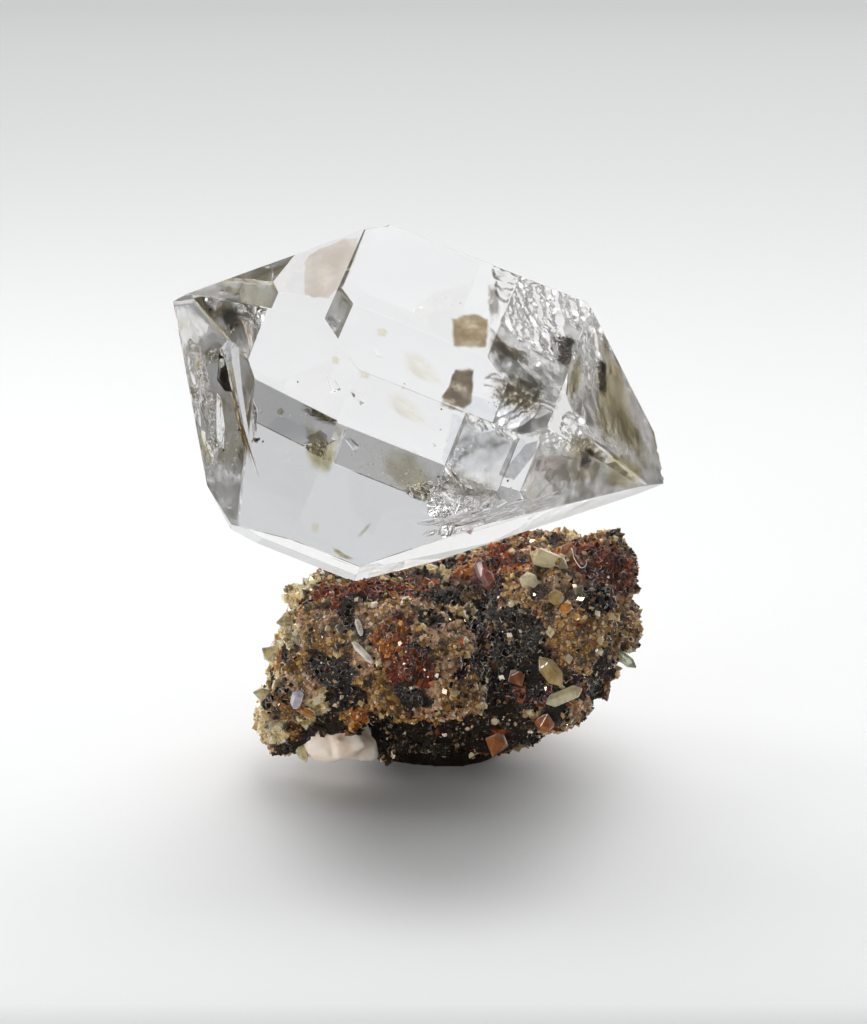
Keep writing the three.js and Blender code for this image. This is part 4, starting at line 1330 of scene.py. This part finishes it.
def druse_material(name, kinds, clear, roughness):
    """Grains that each have their own shade, some of them clearer and some stained."""
    material, tree, shader = new_material(
        name, Roughness=roughness, IOR=1.5, Specular_Tint=(1.0, 0.84, 0.66, 1.0),
        Specular_IOR_Level=0.5 if clear > 0.2 else 0.13 if "dark" in kinds else 0.22, Transmission_Weight=clear,
        Subsurface_Weight=0.6 if "olive" in kinds else 0.0, Subsurface_Scale=0.4 * MM,
        Subsurface_Radius=(1.0, 0.85, 0.6),
    )
    tone = add_node(tree, "ShaderNodeAttribute", attribute_name="tone")
    where = add_node(tree, "ShaderNodeTexCoord")
    stain = add_node(tree, "ShaderNodeTexNoise", {
        "Vector": where.outputs["Object"], "Scale": 1.1 / MM, "Detail": 3.0, "Roughness": 0.6,
    })
    shade = add_node(tree, "ShaderNodeMapRange", {
        "Value": stain.outputs["Fac"], "From Min": 0.3, "From Max": 0.7, "To Min": -0.14, "To Max": 0.44,
    })
    total = add_node(tree, "ShaderNodeMath", {
        0: tone.outputs["Fac"], 1: 0.66, 2: shade.outputs["Result"],
    }, operation="MULTIPLY_ADD", use_clamp=True)
    tint = zone_tint(tree, {kind: PALETTE[kind] for kind in kinds}, total.outputs[0])
    tree.links.new(tint, shader.inputs["Base Color"])
    haze = add_node(tree, "ShaderNodeMapRange", {
        "Value": stain.outputs["Fac"], "From Min": 0.35, "From Max": 0.7,
        "To Min": roughness * 0.5, "To Max": roughness * 2,
    })
    tree.links.new(haze.outputs["Result"], shader.inputs["Roughness"])
    return material


def strewn(name, mesh, tree, grain, other, material, spacing, size, sink, tilt, seed):
    """Bakes grains over a mesh where its "cover" attribute is high."""
    grains = new_piece(name, mesh)
    modifier = grains.modifiers.new("druse", "NODES")
    modifier.node_group = tree
    values = {
        "Grain": grain, "Other Grain": other, "Spacing": spacing * MM, "Density": 1.2e6 / spacing ** 2,
        "Least Size": size[0] * MM, "Most Size": size[1] * MM, "Sink": sink * MM,
        "Tilt": math.radians(tilt), "Seed": seed, "Material": material,
    }
    sockets = {item.name: item.identifier for item in tree.interface.items_tree if item.in_out == "INPUT"}
    for socket, value in values.items():
        modifier[sockets[socket]] = value
    return baked(grains)


def out_of_reflections(piece):
    """Keeps a piece of the stone out of mirror images, so that the crystal's grazing under-face stays bright."""
    piece.visible_glossy = False
    return piece


def strew_on_rock(name, cover, **values):
    """Bakes one druse over the rock, thicker where its growths are."""
    mesh = bpy.data.objects["dolostone_rock"].data.copy()
    weights = mesh.attributes.new("cover", "FLOAT", "POINT").data
    layers = {kind: mesh.attributes[kind].data for kind in KINDS}
    bare = mesh.attributes["bare"].data
    for vertex in mesh.vertices:
        k = vertex.index
        share = sum(layers[kind][k].value * cover.get(kind, 0.0) for kind in KINDS)
        clear_of_foot = smooth_step(0.35 * MM, 0.9 * MM, vertex.co.z)
        weights[k].value = share * clear_of_foot * (1 - bare[k].value)
    druse = out_of_reflections(strewn(name, mesh, **values))
    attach(druse, "root")
    return druse


def build_druse(looks):
    tree = druse_tree()
    rhomb = new_piece("rhomb_grain", rhomb_mesh())
    point = new_piece("point_grain", point_mesh())
    for k, (name, values) in enumerate(DRUSES.items()):
        values = dict(values)
        small = point if name.endswith("points") else rhomb
        clear, roughness = values.pop("clear"), values.pop("roughness")
        material = druse_material(name, DRUSE_TINTS[name], clear, roughness)
        strew_on_rock(name, values.pop("cover"), tree=tree, grain=small, other=point, material=material,
                      seed=looks.seed + k, **values)
    for helper in (rhomb, point):
        bpy.data.meshes.remove(helper.data)


# ---------- the small crystals ----------

# Each small crystal's finish.
SMALL_CRYSTALS = {
    "pale_prism": "clear_quartz", "pale_crystal": "clear_quartz", "clear_prism": "clear_quartz",
    "clear_point": "clear_quartz", "yellow_crystal": "honey_crystal", "brown_crystal": "honey_crystal",
    "green_prism": "green_crystal", "orange_crystal_top": "orange_crystal",
    "orange_crystal_recess": "orange_crystal", "orange_crystal_low": "orange_crystal",
    "orange_crystal_foot": "orange_crystal", "red_prism_left": "red_crystal", "red_prism_right": "red_crystal",
    "olive_crystal_upper": "olive_crystal", "olive_crystal_middle": "olive_crystal",
    "olive_crystal_lower": "olive_crystal",
}
# Body colour and how much light passes, for each finish.
SMALL_FINISHES = {
    "clear_quartz": ((240, 226, 180), 0.40, 0.08), "honey_crystal": ((214, 180, 112), 0.4, 0.10),
    "green_crystal": ((214, 222, 192), 0.7, 0.06), "orange_crystal": ((164, 92, 34), 0.2, 0.3),
    "red_crystal": ((136, 56, 30), 0.2, 0.3), "olive_crystal": ((222, 208, 160), 0.55, 0.08),
}


def dressed_crystal(node):
    """A small crystal's solid with flat faces and worn edges, a little fuller than the solid."""
    body = merged_solid(node)
    bmesh.ops.dissolve_limit(body, angle_limit=math.radians(0.5), verts=body.verts, edges=body.edges)
    middle = sum((vertex.co for vertex in body.verts), Vector()) / len(body.verts)
    for vertex in body.verts:
        vertex.co = middle + (vertex.co - middle) * 1.12
    bmesh.ops.bevel(body, geom=body.edges[:], offset=0.025 * MM, segments=1, affect="EDGES", clamp_overlap=True)
    return body


def small_crystal_material(finish, colour, clear, roughness):
    """Tinted quartz with paler and darker cloudy zones, and fine growth lines across its faces."""
    material, tree, shader = new_material(finish, Roughness=roughness, IOR=1.55, Transmission_Weight=clear)
    where = add_node(tree, "ShaderNodeTexCoord")
    cloud = add_node(tree, "ShaderNodeTexNoise", {
        "Vector": where.outputs["Object"], "Scale": 1.6 / MM, "Detail": 3.0, "Roughness": 0.6,
    })
    ramp = add_node(tree, "ShaderNodeValToRGB", {"Fac": cloud.outputs["Fac"]})
    fill_ramp(ramp, (
        (0.30, tuple(v * 0.72 for v in colour)), (0.52, colour), (0.72, tuple(v + (255 - v) * 0.35 for v in colour)),
    ))
    tree.links.new(ramp.outputs["Color"], shader.inputs["Base Color"])
    lines = add_node(tree, "ShaderNodeTexNoise", {
        "Vector": where.outputs["Object"], "Scale": 9.0 / MM, "Detail": 2.0, "Roughness": 0.5,
    })
    relief = add_node(tree, "ShaderNodeBump", {
        "Height": lines.outputs["Fac"], "Strength": 0.25, "Distance": 0.02 * MM,
    })
    tree.links.new(relief.outputs["Normal"], shader.inputs["Normal"])
    return material


def build_small_crystals(looks):
    finishes = {name: small_crystal_material(name, *values) for name, values in SMALL_FINISHES.items()}
    for node, finish in SMALL_CRYSTALS.items():
        body = dressed_crystal(node)
        mesh = bpy.data.meshes.new("dressed_" + node)
        body.to_mesh(mesh)
        body.free()
        crystal = new_piece("dressed_" + node, mesh, finishes[finish])
        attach(crystal, "root")
        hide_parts(node)


# ---------- the white dolomite ----------

def white_dolomite_material():
    """Milky dolomite, faintly pink, with cloudy veins and a few dark specks."""
    material, tree, shader = new_material(
        "white_dolomite", Roughness=0.5, IOR=1.6, Specular_IOR_Level=0.15, Subsurface_Weight=0.25,
        Subsurface_Scale=0.8 * MM, Subsurface_Radius=(1.0, 0.8, 0.6),
    )
    where = add_node(tree, "ShaderNodeTexCoord")
    cloud = add_node(tree, "ShaderNodeTexNoise", {
        "Vector": where.outputs["Object"], "Scale": 0.9 / MM, "Detail": 4.0, "Roughness": 0.6,
    })
    ramp = add_node(tree, "ShaderNodeValToRGB", {"Fac": cloud.outputs["Fac"]})
    fill_ramp(ramp, ((0.30, (234, 208, 186)), (0.50, (248, 230, 214)), (0.70, (255, 246, 236))))
    specks = add_node(tree, "ShaderNodeTexVoronoi", {
        "Vector": where.outputs["Object"], "Scale": 1.3 / MM, "Randomness": 1.0,
    })
    speck = add_node(tree, "ShaderNodeMapRange", {
        "Value": specks.outputs["Distance"], "From Min": 0.03, "From Max": 0.07, "To Min": 0.4, "To Max": 0.0,
    })
    mix = add_node(tree, "ShaderNodeMix", {
        0: speck.outputs["Result"], 6: ramp.outputs["Color"], 7: rgba(92, 74, 56),
    }, data_type="RGBA")
    tree.links.new(mix.outputs[2], shader.inputs["Base Color"])
    relief = add_node(tree, "ShaderNodeBump", {
        "Height": cloud.outputs["Fac"], "Strength": 0.06, "Distance": 0.08 * MM,
    })
    tree.links.new(relief.outputs["Normal"], shader.inputs["Normal"])
    return material


def build_white_dolomite(looks):
    body = merged_solid("white_dolomite")
    mesh = bpy.data.meshes.new("milky_dolomite")
    body.to_mesh(mesh)
    body.free()
    lump = new_piece("milky_dolomite", mesh, white_dolomite_material())
    remesh = lump.modifiers.new("remesh", "REMESH")
    remesh.mode = "VOXEL"
    remesh.voxel_size = 0.1 * MM
    soften = lump.modifiers.new("soften", "SMOOTH")
    soften.factor, soften.iterations = 0.7, 40
    baked(lump)
    outward = [vertex.normal.copy() for vertex in lump.data.vertices]
    for vertex, normal in zip(lump.data.vertices, outward):
        point = (vertex.co - CENTRE) / MM
        vertex.co += normal * (0.08 * octaves(point, 1.6, 2, 0.4) + 0.14) * MM
    lump.data.polygons.foreach_set("use_smooth", [True] * len(lump.data.polygons))
    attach(lump, "root")
    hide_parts("white_dolomite")
    return lump


# ---------- needles and lint ----------

def tube(name, points, radius, sides=8, taper=None):
    """A closed tube through the points, in mm, with rounded or tapered ends."""
    places = [at(*point) for point in points]
    vertices, faces = [], []
    frame_up = Vector((0.3, 0.2, 1)).normalized()
    last = len(places) - 1
    for k, place in enumerate(places):
        heading = (places[min(k + 1, last)] - places[max(k - 1, 0)]).normalized()
        side = heading.cross(frame_up).normalized()
        other = side.cross(heading)
        width = radius * MM * (taper(k / last) if taper else 1)
        for j in range(sides):
            turn = 2 * math.pi * j / sides
            vertices.append(place + (side * math.cos(turn) + other * math.sin(turn)) * width)
    for k in range(last):
        for j in range(sides):
            a, b = k * sides + j, k * sides + (j + 1) % sides
            faces.append((a, a + sides, b + sides, b))
    faces.append(tuple(range(sides)))
    faces.append(tuple(range(last * sides + sides - 1, last * sides - 1, -1)))
    mesh = mesh_from(name, vertices, faces)
    body = bmesh.new()
    body.from_mesh(mesh)
    bmesh.ops.recalc_face_normals(body, faces=body.faces)
    body.to_mesh(mesh)
    body.free()
    return mesh


# Loose bits on the ledge: middle, direction, radius and length in mm, sides, and finish.
BITS = {
    "white_needle_upper": ((-3.4, -9.75, -10.5), (0.3, -0.35, -0.9), 0.17, 1.0, 6, "white_needle"),
    "white_needle_lower": ((-3.2, -10.3, -11.8), (0.7, -0.25, -0.7), 0.20, 1.6, 6, "white_needle"),
    "lavender_chip": ((-6.9, -10.0, -14.7), (0.2, -0.3, 0.9), 0.34, 1.2, 5, "lavender_chip"),
    "honey_chip": ((-6.3, -9.95, -15.5), (0.8, -0.3, -0.3), 0.26, 0.8, 6, "honey_chip"),
    "orange_chip": ((8.2, -8.0, -10.0), (0.5, -0.6, 0.5), 0.27, 0.9, 6, "orange_chip"),
}
BIT_FINISHES = {
    "white_needle": ((236, 224, 212), 0.15, 0.3), "lavender_chip": ((214, 208, 222), 0.35, 0.15),
    "honey_chip": ((214, 150, 66), 0.5, 0.12), "orange_chip": ((222, 150, 44), 0.5, 0.12),
}
LINT_PATH = ((8.7, -3.5, -7.9), (8.76, -4.0, -7.85), (8.8, -4.5, -8.1), (8.94, -5.05, -8.25), (9.17, -5.5, -8.42),
             (9.42, -5.6, -8.27), (9.5, -5.5, -8.02))


def smooth_path(points, steps=6):
    """Points along a smooth curve through the given ones."""
    points = [Vector(point) for point in points]
    path = []
    for k in range(len(points) - 1):
        start, end = points[k], points[k + 1]
        before, after = points[max(k - 1, 0)], points[min(k + 2, len(points) - 1)]
        for step in range(steps):
            t = step / steps
            path.append(0.5 * (
                2 * start + (end - before) * t + (2 * before - 5 * start + 4 * end - after) * t * t
                + (3 * start - before - 3 * end + after) * t ** 3
            ))
    path.append(points[-1])
    return path


def build_bits(looks):
    finishes = {name: small_crystal_material(name, *values) for name, values in BIT_FINISHES.items()}
    for name, (middle, along, radius, length, sides, finish) in BITS.items():
        along = Vector(along).normalized()
        places = [Vector(middle) + along * (length * (k / 5 - 0.5)) for k in range(6)]
        mesh = tube(name, places, radius, sides, lambda t: 0.45 + 0.55 * math.sqrt(max(1 - (2 * t - 1) ** 4, 0)))
        bit = new_piece(name, mesh, finishes[finish])
        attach(bit, "root")
    material, tree, shader = new_material("lint", Roughness=0.6, Base_Color=rgba(226, 222, 214))
    where = add_node(tree, "ShaderNodeTexCoord")
    fuzz = add_node(tree, "ShaderNodeTexNoise", {"Vector": where.outputs["Object"], "Scale": 3 / MM})
    ramp = add_node(tree, "ShaderNodeValToRGB", {"Fac": fuzz.outputs["Fac"]})
    fill_ramp(ramp, ((0.3, (196, 190, 180)), (0.6, (236, 232, 226))))
    tree.links.new(ramp.outputs["Color"], shader.inputs["Base Color"])
    lint = new_piece("lint_fibre", tube("lint_fibre", smooth_path(LINT_PATH), 0.022, 6), material)
    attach(lint, "root")


# ---------- the stage ----------

LENS = 105.47  # mm, for a sensor 36 mm on its long side
LENS_SHIFT = (0.0132, -0.1094)

# Soft boxes in the surroundings: direction, half angles of the bright core and of its soft edge, and colour.
SOFT_BOXES = {
    "back_wall": {"towards": (0.0, 1.0, 0.05), "core": 30, "edge": 72, "glow": (0.80, 0.80, 0.80)},
    "overhead": {"towards": (0.42, 0.02, 0.78), "core": 18, "edge": 42, "glow": (0.54, 0.565, 0.59)},
}
DIM_SURROUNDINGS = (0.16, 0.155, 0.14)


def soft_surroundings():
    """A dim studio with a bright back wall and a soft box overhead."""
    world = bpy.data.worlds.new("studio")
    bpy.context.scene.world = world
    world.use_nodes = True
    tree = world.node_tree
    tree.nodes.clear()
    direction = add_node(tree, "ShaderNodeTexCoord").outputs["Generated"]
    total = DIM_SURROUNDINGS
    for box in SOFT_BOXES.values():
        facing = add_node(tree, "ShaderNodeVectorMath", {
            0: direction, 1: Vector(box["towards"]).normalized(),
        }, operation="DOT_PRODUCT")
        inside = add_node(tree, "ShaderNodeMapRange", {
            "Value": facing.outputs["Value"],
            "From Min": math.cos(math.radians(box["edge"])), "From Max": math.cos(math.radians(box["core"])),
        }, interpolation_type="SMOOTHSTEP")
        glow = add_node(tree, "ShaderNodeVectorMath", {
            0: box["glow"], "Scale": inside.outputs["Result"],
        }, operation="SCALE")
        total = add_node(tree, "ShaderNodeVectorMath", {
            0: total, 1: glow.outputs["Vector"],
        }, operation="ADD").outputs["Vector"]
    background = add_node(tree, "ShaderNodeBackground", {"Color": total})
    output = add_node(tree, "ShaderNodeOutputWorld")
    tree.links.new(background.outputs["Background"], output.inputs["Surface"])


def soft_light(name, place, size, power, glints=False, spread=True):
    """A soft light of the given width and height that shines on the specimen without showing in the glass."""
    data = bpy.data.lights.new(name, "AREA")
    data.shape = "RECTANGLE"
    data.size, data.size_y = size[0] * MM, size[1] * MM
    data.energy = power
    light = bpy.data.objects.new(name, data)
    bpy.context.scene.collection.objects.link(light)
    light.location = at(*place)
    light.rotation_euler = (at(*place) - at(0, 0, -14)).to_track_quat("Z", "Y").to_euler()
    light.visible_transmission = False
    light.visible_glossy = glints
    light.visible_diffuse = spread
    return light


# The board, in metres and tones of grey: it is even under the specimen, fades by half this far behind it, and
# has a darker strip along its near side. The fade behind is painted shade, in place of light falling off towards the
# back.
FLOOR_NEAR, FLOOR_FAR = -0.12, 0.40
BOARD_TONE, FADE_TO_HALF, FADE_POWER = 0.745, 0.20, 1.8
NEAR_STRIP_TONE, NEAR_STRIP_EDGE = 0.30, (-0.0425, -0.0345)


def board_tone(y):
    """The board's grey, y metres behind the middle."""
    if y <= NEAR_STRIP_EDGE[0]:
        return NEAR_STRIP_TONE
    return BOARD_TONE / (1 + (max(y, 0) / FADE_TO_HALF) ** FADE_POWER)


def floor_material(looks):
    """Pale matt board that darkens softly towards its near side and, in painted shade, towards its far side, with a
    painted shadow in front of the stone's foot.
    """
    material, tree, shader = new_material("pale_board", Roughness=0.7)
    where = add_node(tree, "ShaderNodeTexCoord")
    place = add_node(tree, "ShaderNodeSeparateXYZ", {"Vector": where.outputs["Object"]})
    ramp = add_node(tree, "ShaderNodeValToRGB", {})
    spread = add_node(tree, "ShaderNodeMapRange", {
        "Value": place.outputs["Y"], "From Min": FLOOR_NEAR, "From Max": FLOOR_FAR,
    })
    tree.links.new(spread.outputs["Result"], ramp.inputs["Fac"])
    stops = [(y, board_tone(y)) for y in (FLOOR_NEAR, *NEAR_STRIP_EDGE, *(k * 0.03 for k in range(12)))]
    ramp.color_ramp.interpolation = "LINEAR"
    elements = ramp.color_ramp.elements
    while len(elements) > 1:
        elements.remove(elements[-1])
    for k, (y, tone) in enumerate(stops):
        position = (y - FLOOR_NEAR) / (FLOOR_FAR - FLOOR_NEAR)
        element = elements[0] if k == 0 else elements.new(position)
        element.position = position
        element.color = (tone * 0.995, tone, tone * 1.012, 1)
    # Painted shadow: the board is darker in front of the stone's foot, down to 0.62 of its tone, deepening the
    # stone's shadow there.
    away = add_node(tree, "ShaderNodeVectorMath", {
        0: where.outputs["Object"], 1: (CENTRE.x + 1 * MM, CENTRE.y - 14 * MM, 0.0),
    }, operation="SUBTRACT")
    drawn = add_node(tree, "ShaderNodeVectorMath", {
        0: away.outputs[0], 1: (1.0, 0.67, 0.0),
    }, operation="MULTIPLY")
    reach = add_node(tree, "ShaderNodeVectorMath", {0: drawn.outputs[0]}, operation="LENGTH")
    painted_shadow = add_node(tree, "ShaderNodeMapRange", {
        "Value": reach.outputs["Value"], "From Min": 2 * MM, "From Max": 11 * MM, "To Min": 0.62, "To Max": 1.0,
    }, interpolation_type="SMOOTHSTEP")
    shade = add_node(tree, "ShaderNodeVectorMath", {
        0: ramp.outputs["Color"], "Scale": painted_shadow.outputs["Result"],
    }, operation="SCALE")
    tree.links.new(shade.outputs["Vector"], shader.inputs["Base Color"])
    return material


def build_stage(looks):
    half = 1.5
    board = mesh_from("pale_floor", [(-half, -half, 0), (half, -half, 0), (half, half, 0), (-half, half, 0)],
                      [(0, 1, 2, 3)])
    new_piece("pale_floor", board, floor_material(looks))
    soft_surroundings()
    soft_light("back_light", (30, 414, 175), (1000, 180), looks.back_power)
    soft_light("overhead_light", (8, 60, 170), (120, 120), looks.overhead_power)
    soft_light("left_light", (-140, 60, 110), (90, 90), looks.left_power)
    soft_light("fill_light", (-190, -230, 2), (160, 36), looks.fill_power)
    soft_light("glint_light", (-110, -120, 110), (64, 64), looks.glint_power, glints=True, spread=False)
    data = bpy.data.cameras.new("camera")
    data.sensor_width = 36
    data.lens = LENS
    data.shift_x, data.shift_y = LENS_SHIFT
    data.clip_start, data.clip_end = 0.005, 10
    camera = bpy.data.objects.new("camera", data)
    bpy.context.scene.collection.objects.link(camera)
    camera.location = at(0, -VIEW_DISTANCE * math.cos(VIEW_ELEVATION), VIEW_DISTANCE * math.sin(VIEW_ELEVATION))
    camera.rotation_euler = (math.pi / 2 - VIEW_ELEVATION, 0, 0)
    scene = bpy.context.scene
    scene.camera = camera
    scene.view_settings.view_transform = "Standard"
    scene.cycles.max_bounces = 24
    scene.cycles.transmission_bounces = 20
    scene.cycles.glossy_bounces = 12
    scene.cycles.transparent_max_bounces = 24


# ---------- the add-on ----------

class HERKIMER_PG_crystal(PropertyGroup):
    ior: FloatProperty(
        name="Index of refraction", description="How strongly the quartz bends light",
        default=1.55, min=1.3, max=1.8,
    )
    frost: FloatProperty(
        name="Frost", description="How strongly the etched parts of the back faces haze the view",
        default=1.0, min=0.0, max=1.5, subtype="FACTOR",
    )
    seed: IntProperty(
        name="Seed", description="Changes how bubbles, veils and flecks are strewn in the quartz", default=3, min=0,
    )


class HERKIMER_PG_stone(PropertyGroup):
    lumps: FloatProperty(
        name="Lumps", description="Height of the rock's lumps",
        default=0.22 * MM, min=0.0, unit="LENGTH", precision=5,
    )
    crumbs: FloatProperty(
        name="Crumbs", description="Height of the rock's fine crumbs",
        default=0.12 * MM, min=0.0, unit="LENGTH", precision=5,
    )
    seed: IntProperty(
        name="Seed", description="Changes how the druse's grains are strewn", default=7, min=0,
    )


class HERKIMER_PG_stage(PropertyGroup):
    back_power: FloatProperty(
        name="Back light", description="Power of the wide soft light behind the specimen",
        default=4.4, min=0.0, unit="POWER",
    )
    overhead_power: FloatProperty(
        name="Overhead light", description="Power of the soft light above the specimen",
        default=0.08, min=0.0, unit="POWER",
    )
    left_power: FloatProperty(
        name="Left light", description="Power of the soft light at the left",
        default=0.08, min=0.0, unit="POWER",
    )
    fill_power: FloatProperty(
        name="Fill light", description="Power of the low soft light in front of the specimen on its left",
        default=0.36, min=0.0, unit="POWER",
    )
    glint_power: FloatProperty(
        name="Glint light", description="Power of the small light that only glints in the stone's crystals",
        default=0.75, min=0.0, unit="POWER",
    )


class HERKIMER_OT_quartz(Operator):
    """Build the clear quartz crystal with its rough faces and cracks"""
    bl_idname = "herkimer.quartz"
    bl_label = "Quartz Crystal"

    def execute(self, context):
        build_quartz(context.scene.herkimer_crystal)
        return {"FINISHED"}


class HERKIMER_OT_inclusions(Operator):
    """Build the stains, carbon and specks inside the quartz"""
    bl_idname = "herkimer.inclusions"
    bl_label = "Inclusions"

    def execute(self, context):
        build_inclusions(context.scene.herkimer_crystal)
        return {"FINISHED"}


class HERKIMER_OT_rock(Operator):
    """Build the crumpled dolostone under the druse"""
    bl_idname = "herkimer.rock"
    bl_label = "Dolostone Rock"

    def execute(self, context):
        build_rock(context.scene.herkimer_stone)
        return {"FINISHED"}


class HERKIMER_OT_druse(Operator):
    """Strew the grains of the druse over the rock"""
    bl_idname = "herkimer.druse"
    bl_label = "Druse"

    def execute(self, context):
        build_druse(context.scene.herkimer_stone)
        return {"FINISHED"}


class HERKIMER_OT_small_crystals(Operator):
    """Build the small coloured crystals that sit in the druse"""
    bl_idname = "herkimer.small_crystals"
    bl_label = "Small Crystals"

    def execute(self, context):
        build_small_crystals(context.scene.herkimer_stone)
        return {"FINISHED"}


class HERKIMER_OT_white_dolomite(Operator):
    """Build the milky dolomite under the ledge"""
    bl_idname = "herkimer.white_dolomite"
    bl_label = "White Dolomite"

    def execute(self, context):
        build_white_dolomite(context.scene.herkimer_stone)
        return {"FINISHED"}


class HERKIMER_OT_bits(Operator):
    """Build the needles, chips and lint on the stone"""
    bl_idname = "herkimer.bits"
    bl_label = "Needles and Lint"

    def execute(self, context):
        build_bits(context.scene.herkimer_stone)
        return {"FINISHED"}


class HERKIMER_OT_stage(Operator):
    """Set up the pale floor, the soft lights and the camera"""
    bl_idname = "herkimer.stage"
    bl_label = "Stage"

    def execute(self, context):
        build_stage(context.scene.herkimer_stage)
        return {"FINISHED"}


OPERATORS = (
    HERKIMER_OT_stage, HERKIMER_OT_quartz, HERKIMER_OT_inclusions, HERKIMER_OT_rock, HERKIMER_OT_druse,
    HERKIMER_OT_small_crystals, HERKIMER_OT_white_dolomite, HERKIMER_OT_bits,
)


class HERKIMER_PT_panel(Panel):
    """Lists what the add-on builds"""
    bl_idname = "HERKIMER_PT_panel"
    bl_label = "Herkimer Diamond"
    bl_space_type = "VIEW_3D"
    bl_region_type = "UI"
    bl_category = "Herkimer"

    def draw(self, context):
        scene = context.scene
        for group in (scene.herkimer_crystal, scene.herkimer_stone, scene.herkimer_stage):
            for name in group.__annotations__:
                self.layout.prop(group, name)
        for operator in OPERATORS:
            self.layout.operator(operator.bl_idname)


CLASSES = (HERKIMER_PG_crystal, HERKIMER_PG_stone, HERKIMER_PG_stage, *OPERATORS, HERKIMER_PT_panel)


def register():
    for item in CLASSES:
        bpy.utils.register_class(item)
    bpy.types.Scene.herkimer_crystal = PointerProperty(type=HERKIMER_PG_crystal)
    bpy.types.Scene.herkimer_stone = PointerProperty(type=HERKIMER_PG_stone)
    bpy.types.Scene.herkimer_stage = PointerProperty(type=HERKIMER_PG_stage)


def unregister():
    del bpy.types.Scene.herkimer_crystal
    del bpy.types.Scene.herkimer_stone
    del bpy.types.Scene.herkimer_stage
    for item in reversed(CLASSES):
        bpy.utils.unregister_class(item)


def main():
    register()
    for operator in OPERATORS:
        getattr(bpy.ops.herkimer, operator.bl_idname.split(".")[1])()


if __name__ == "__main__":
    main()
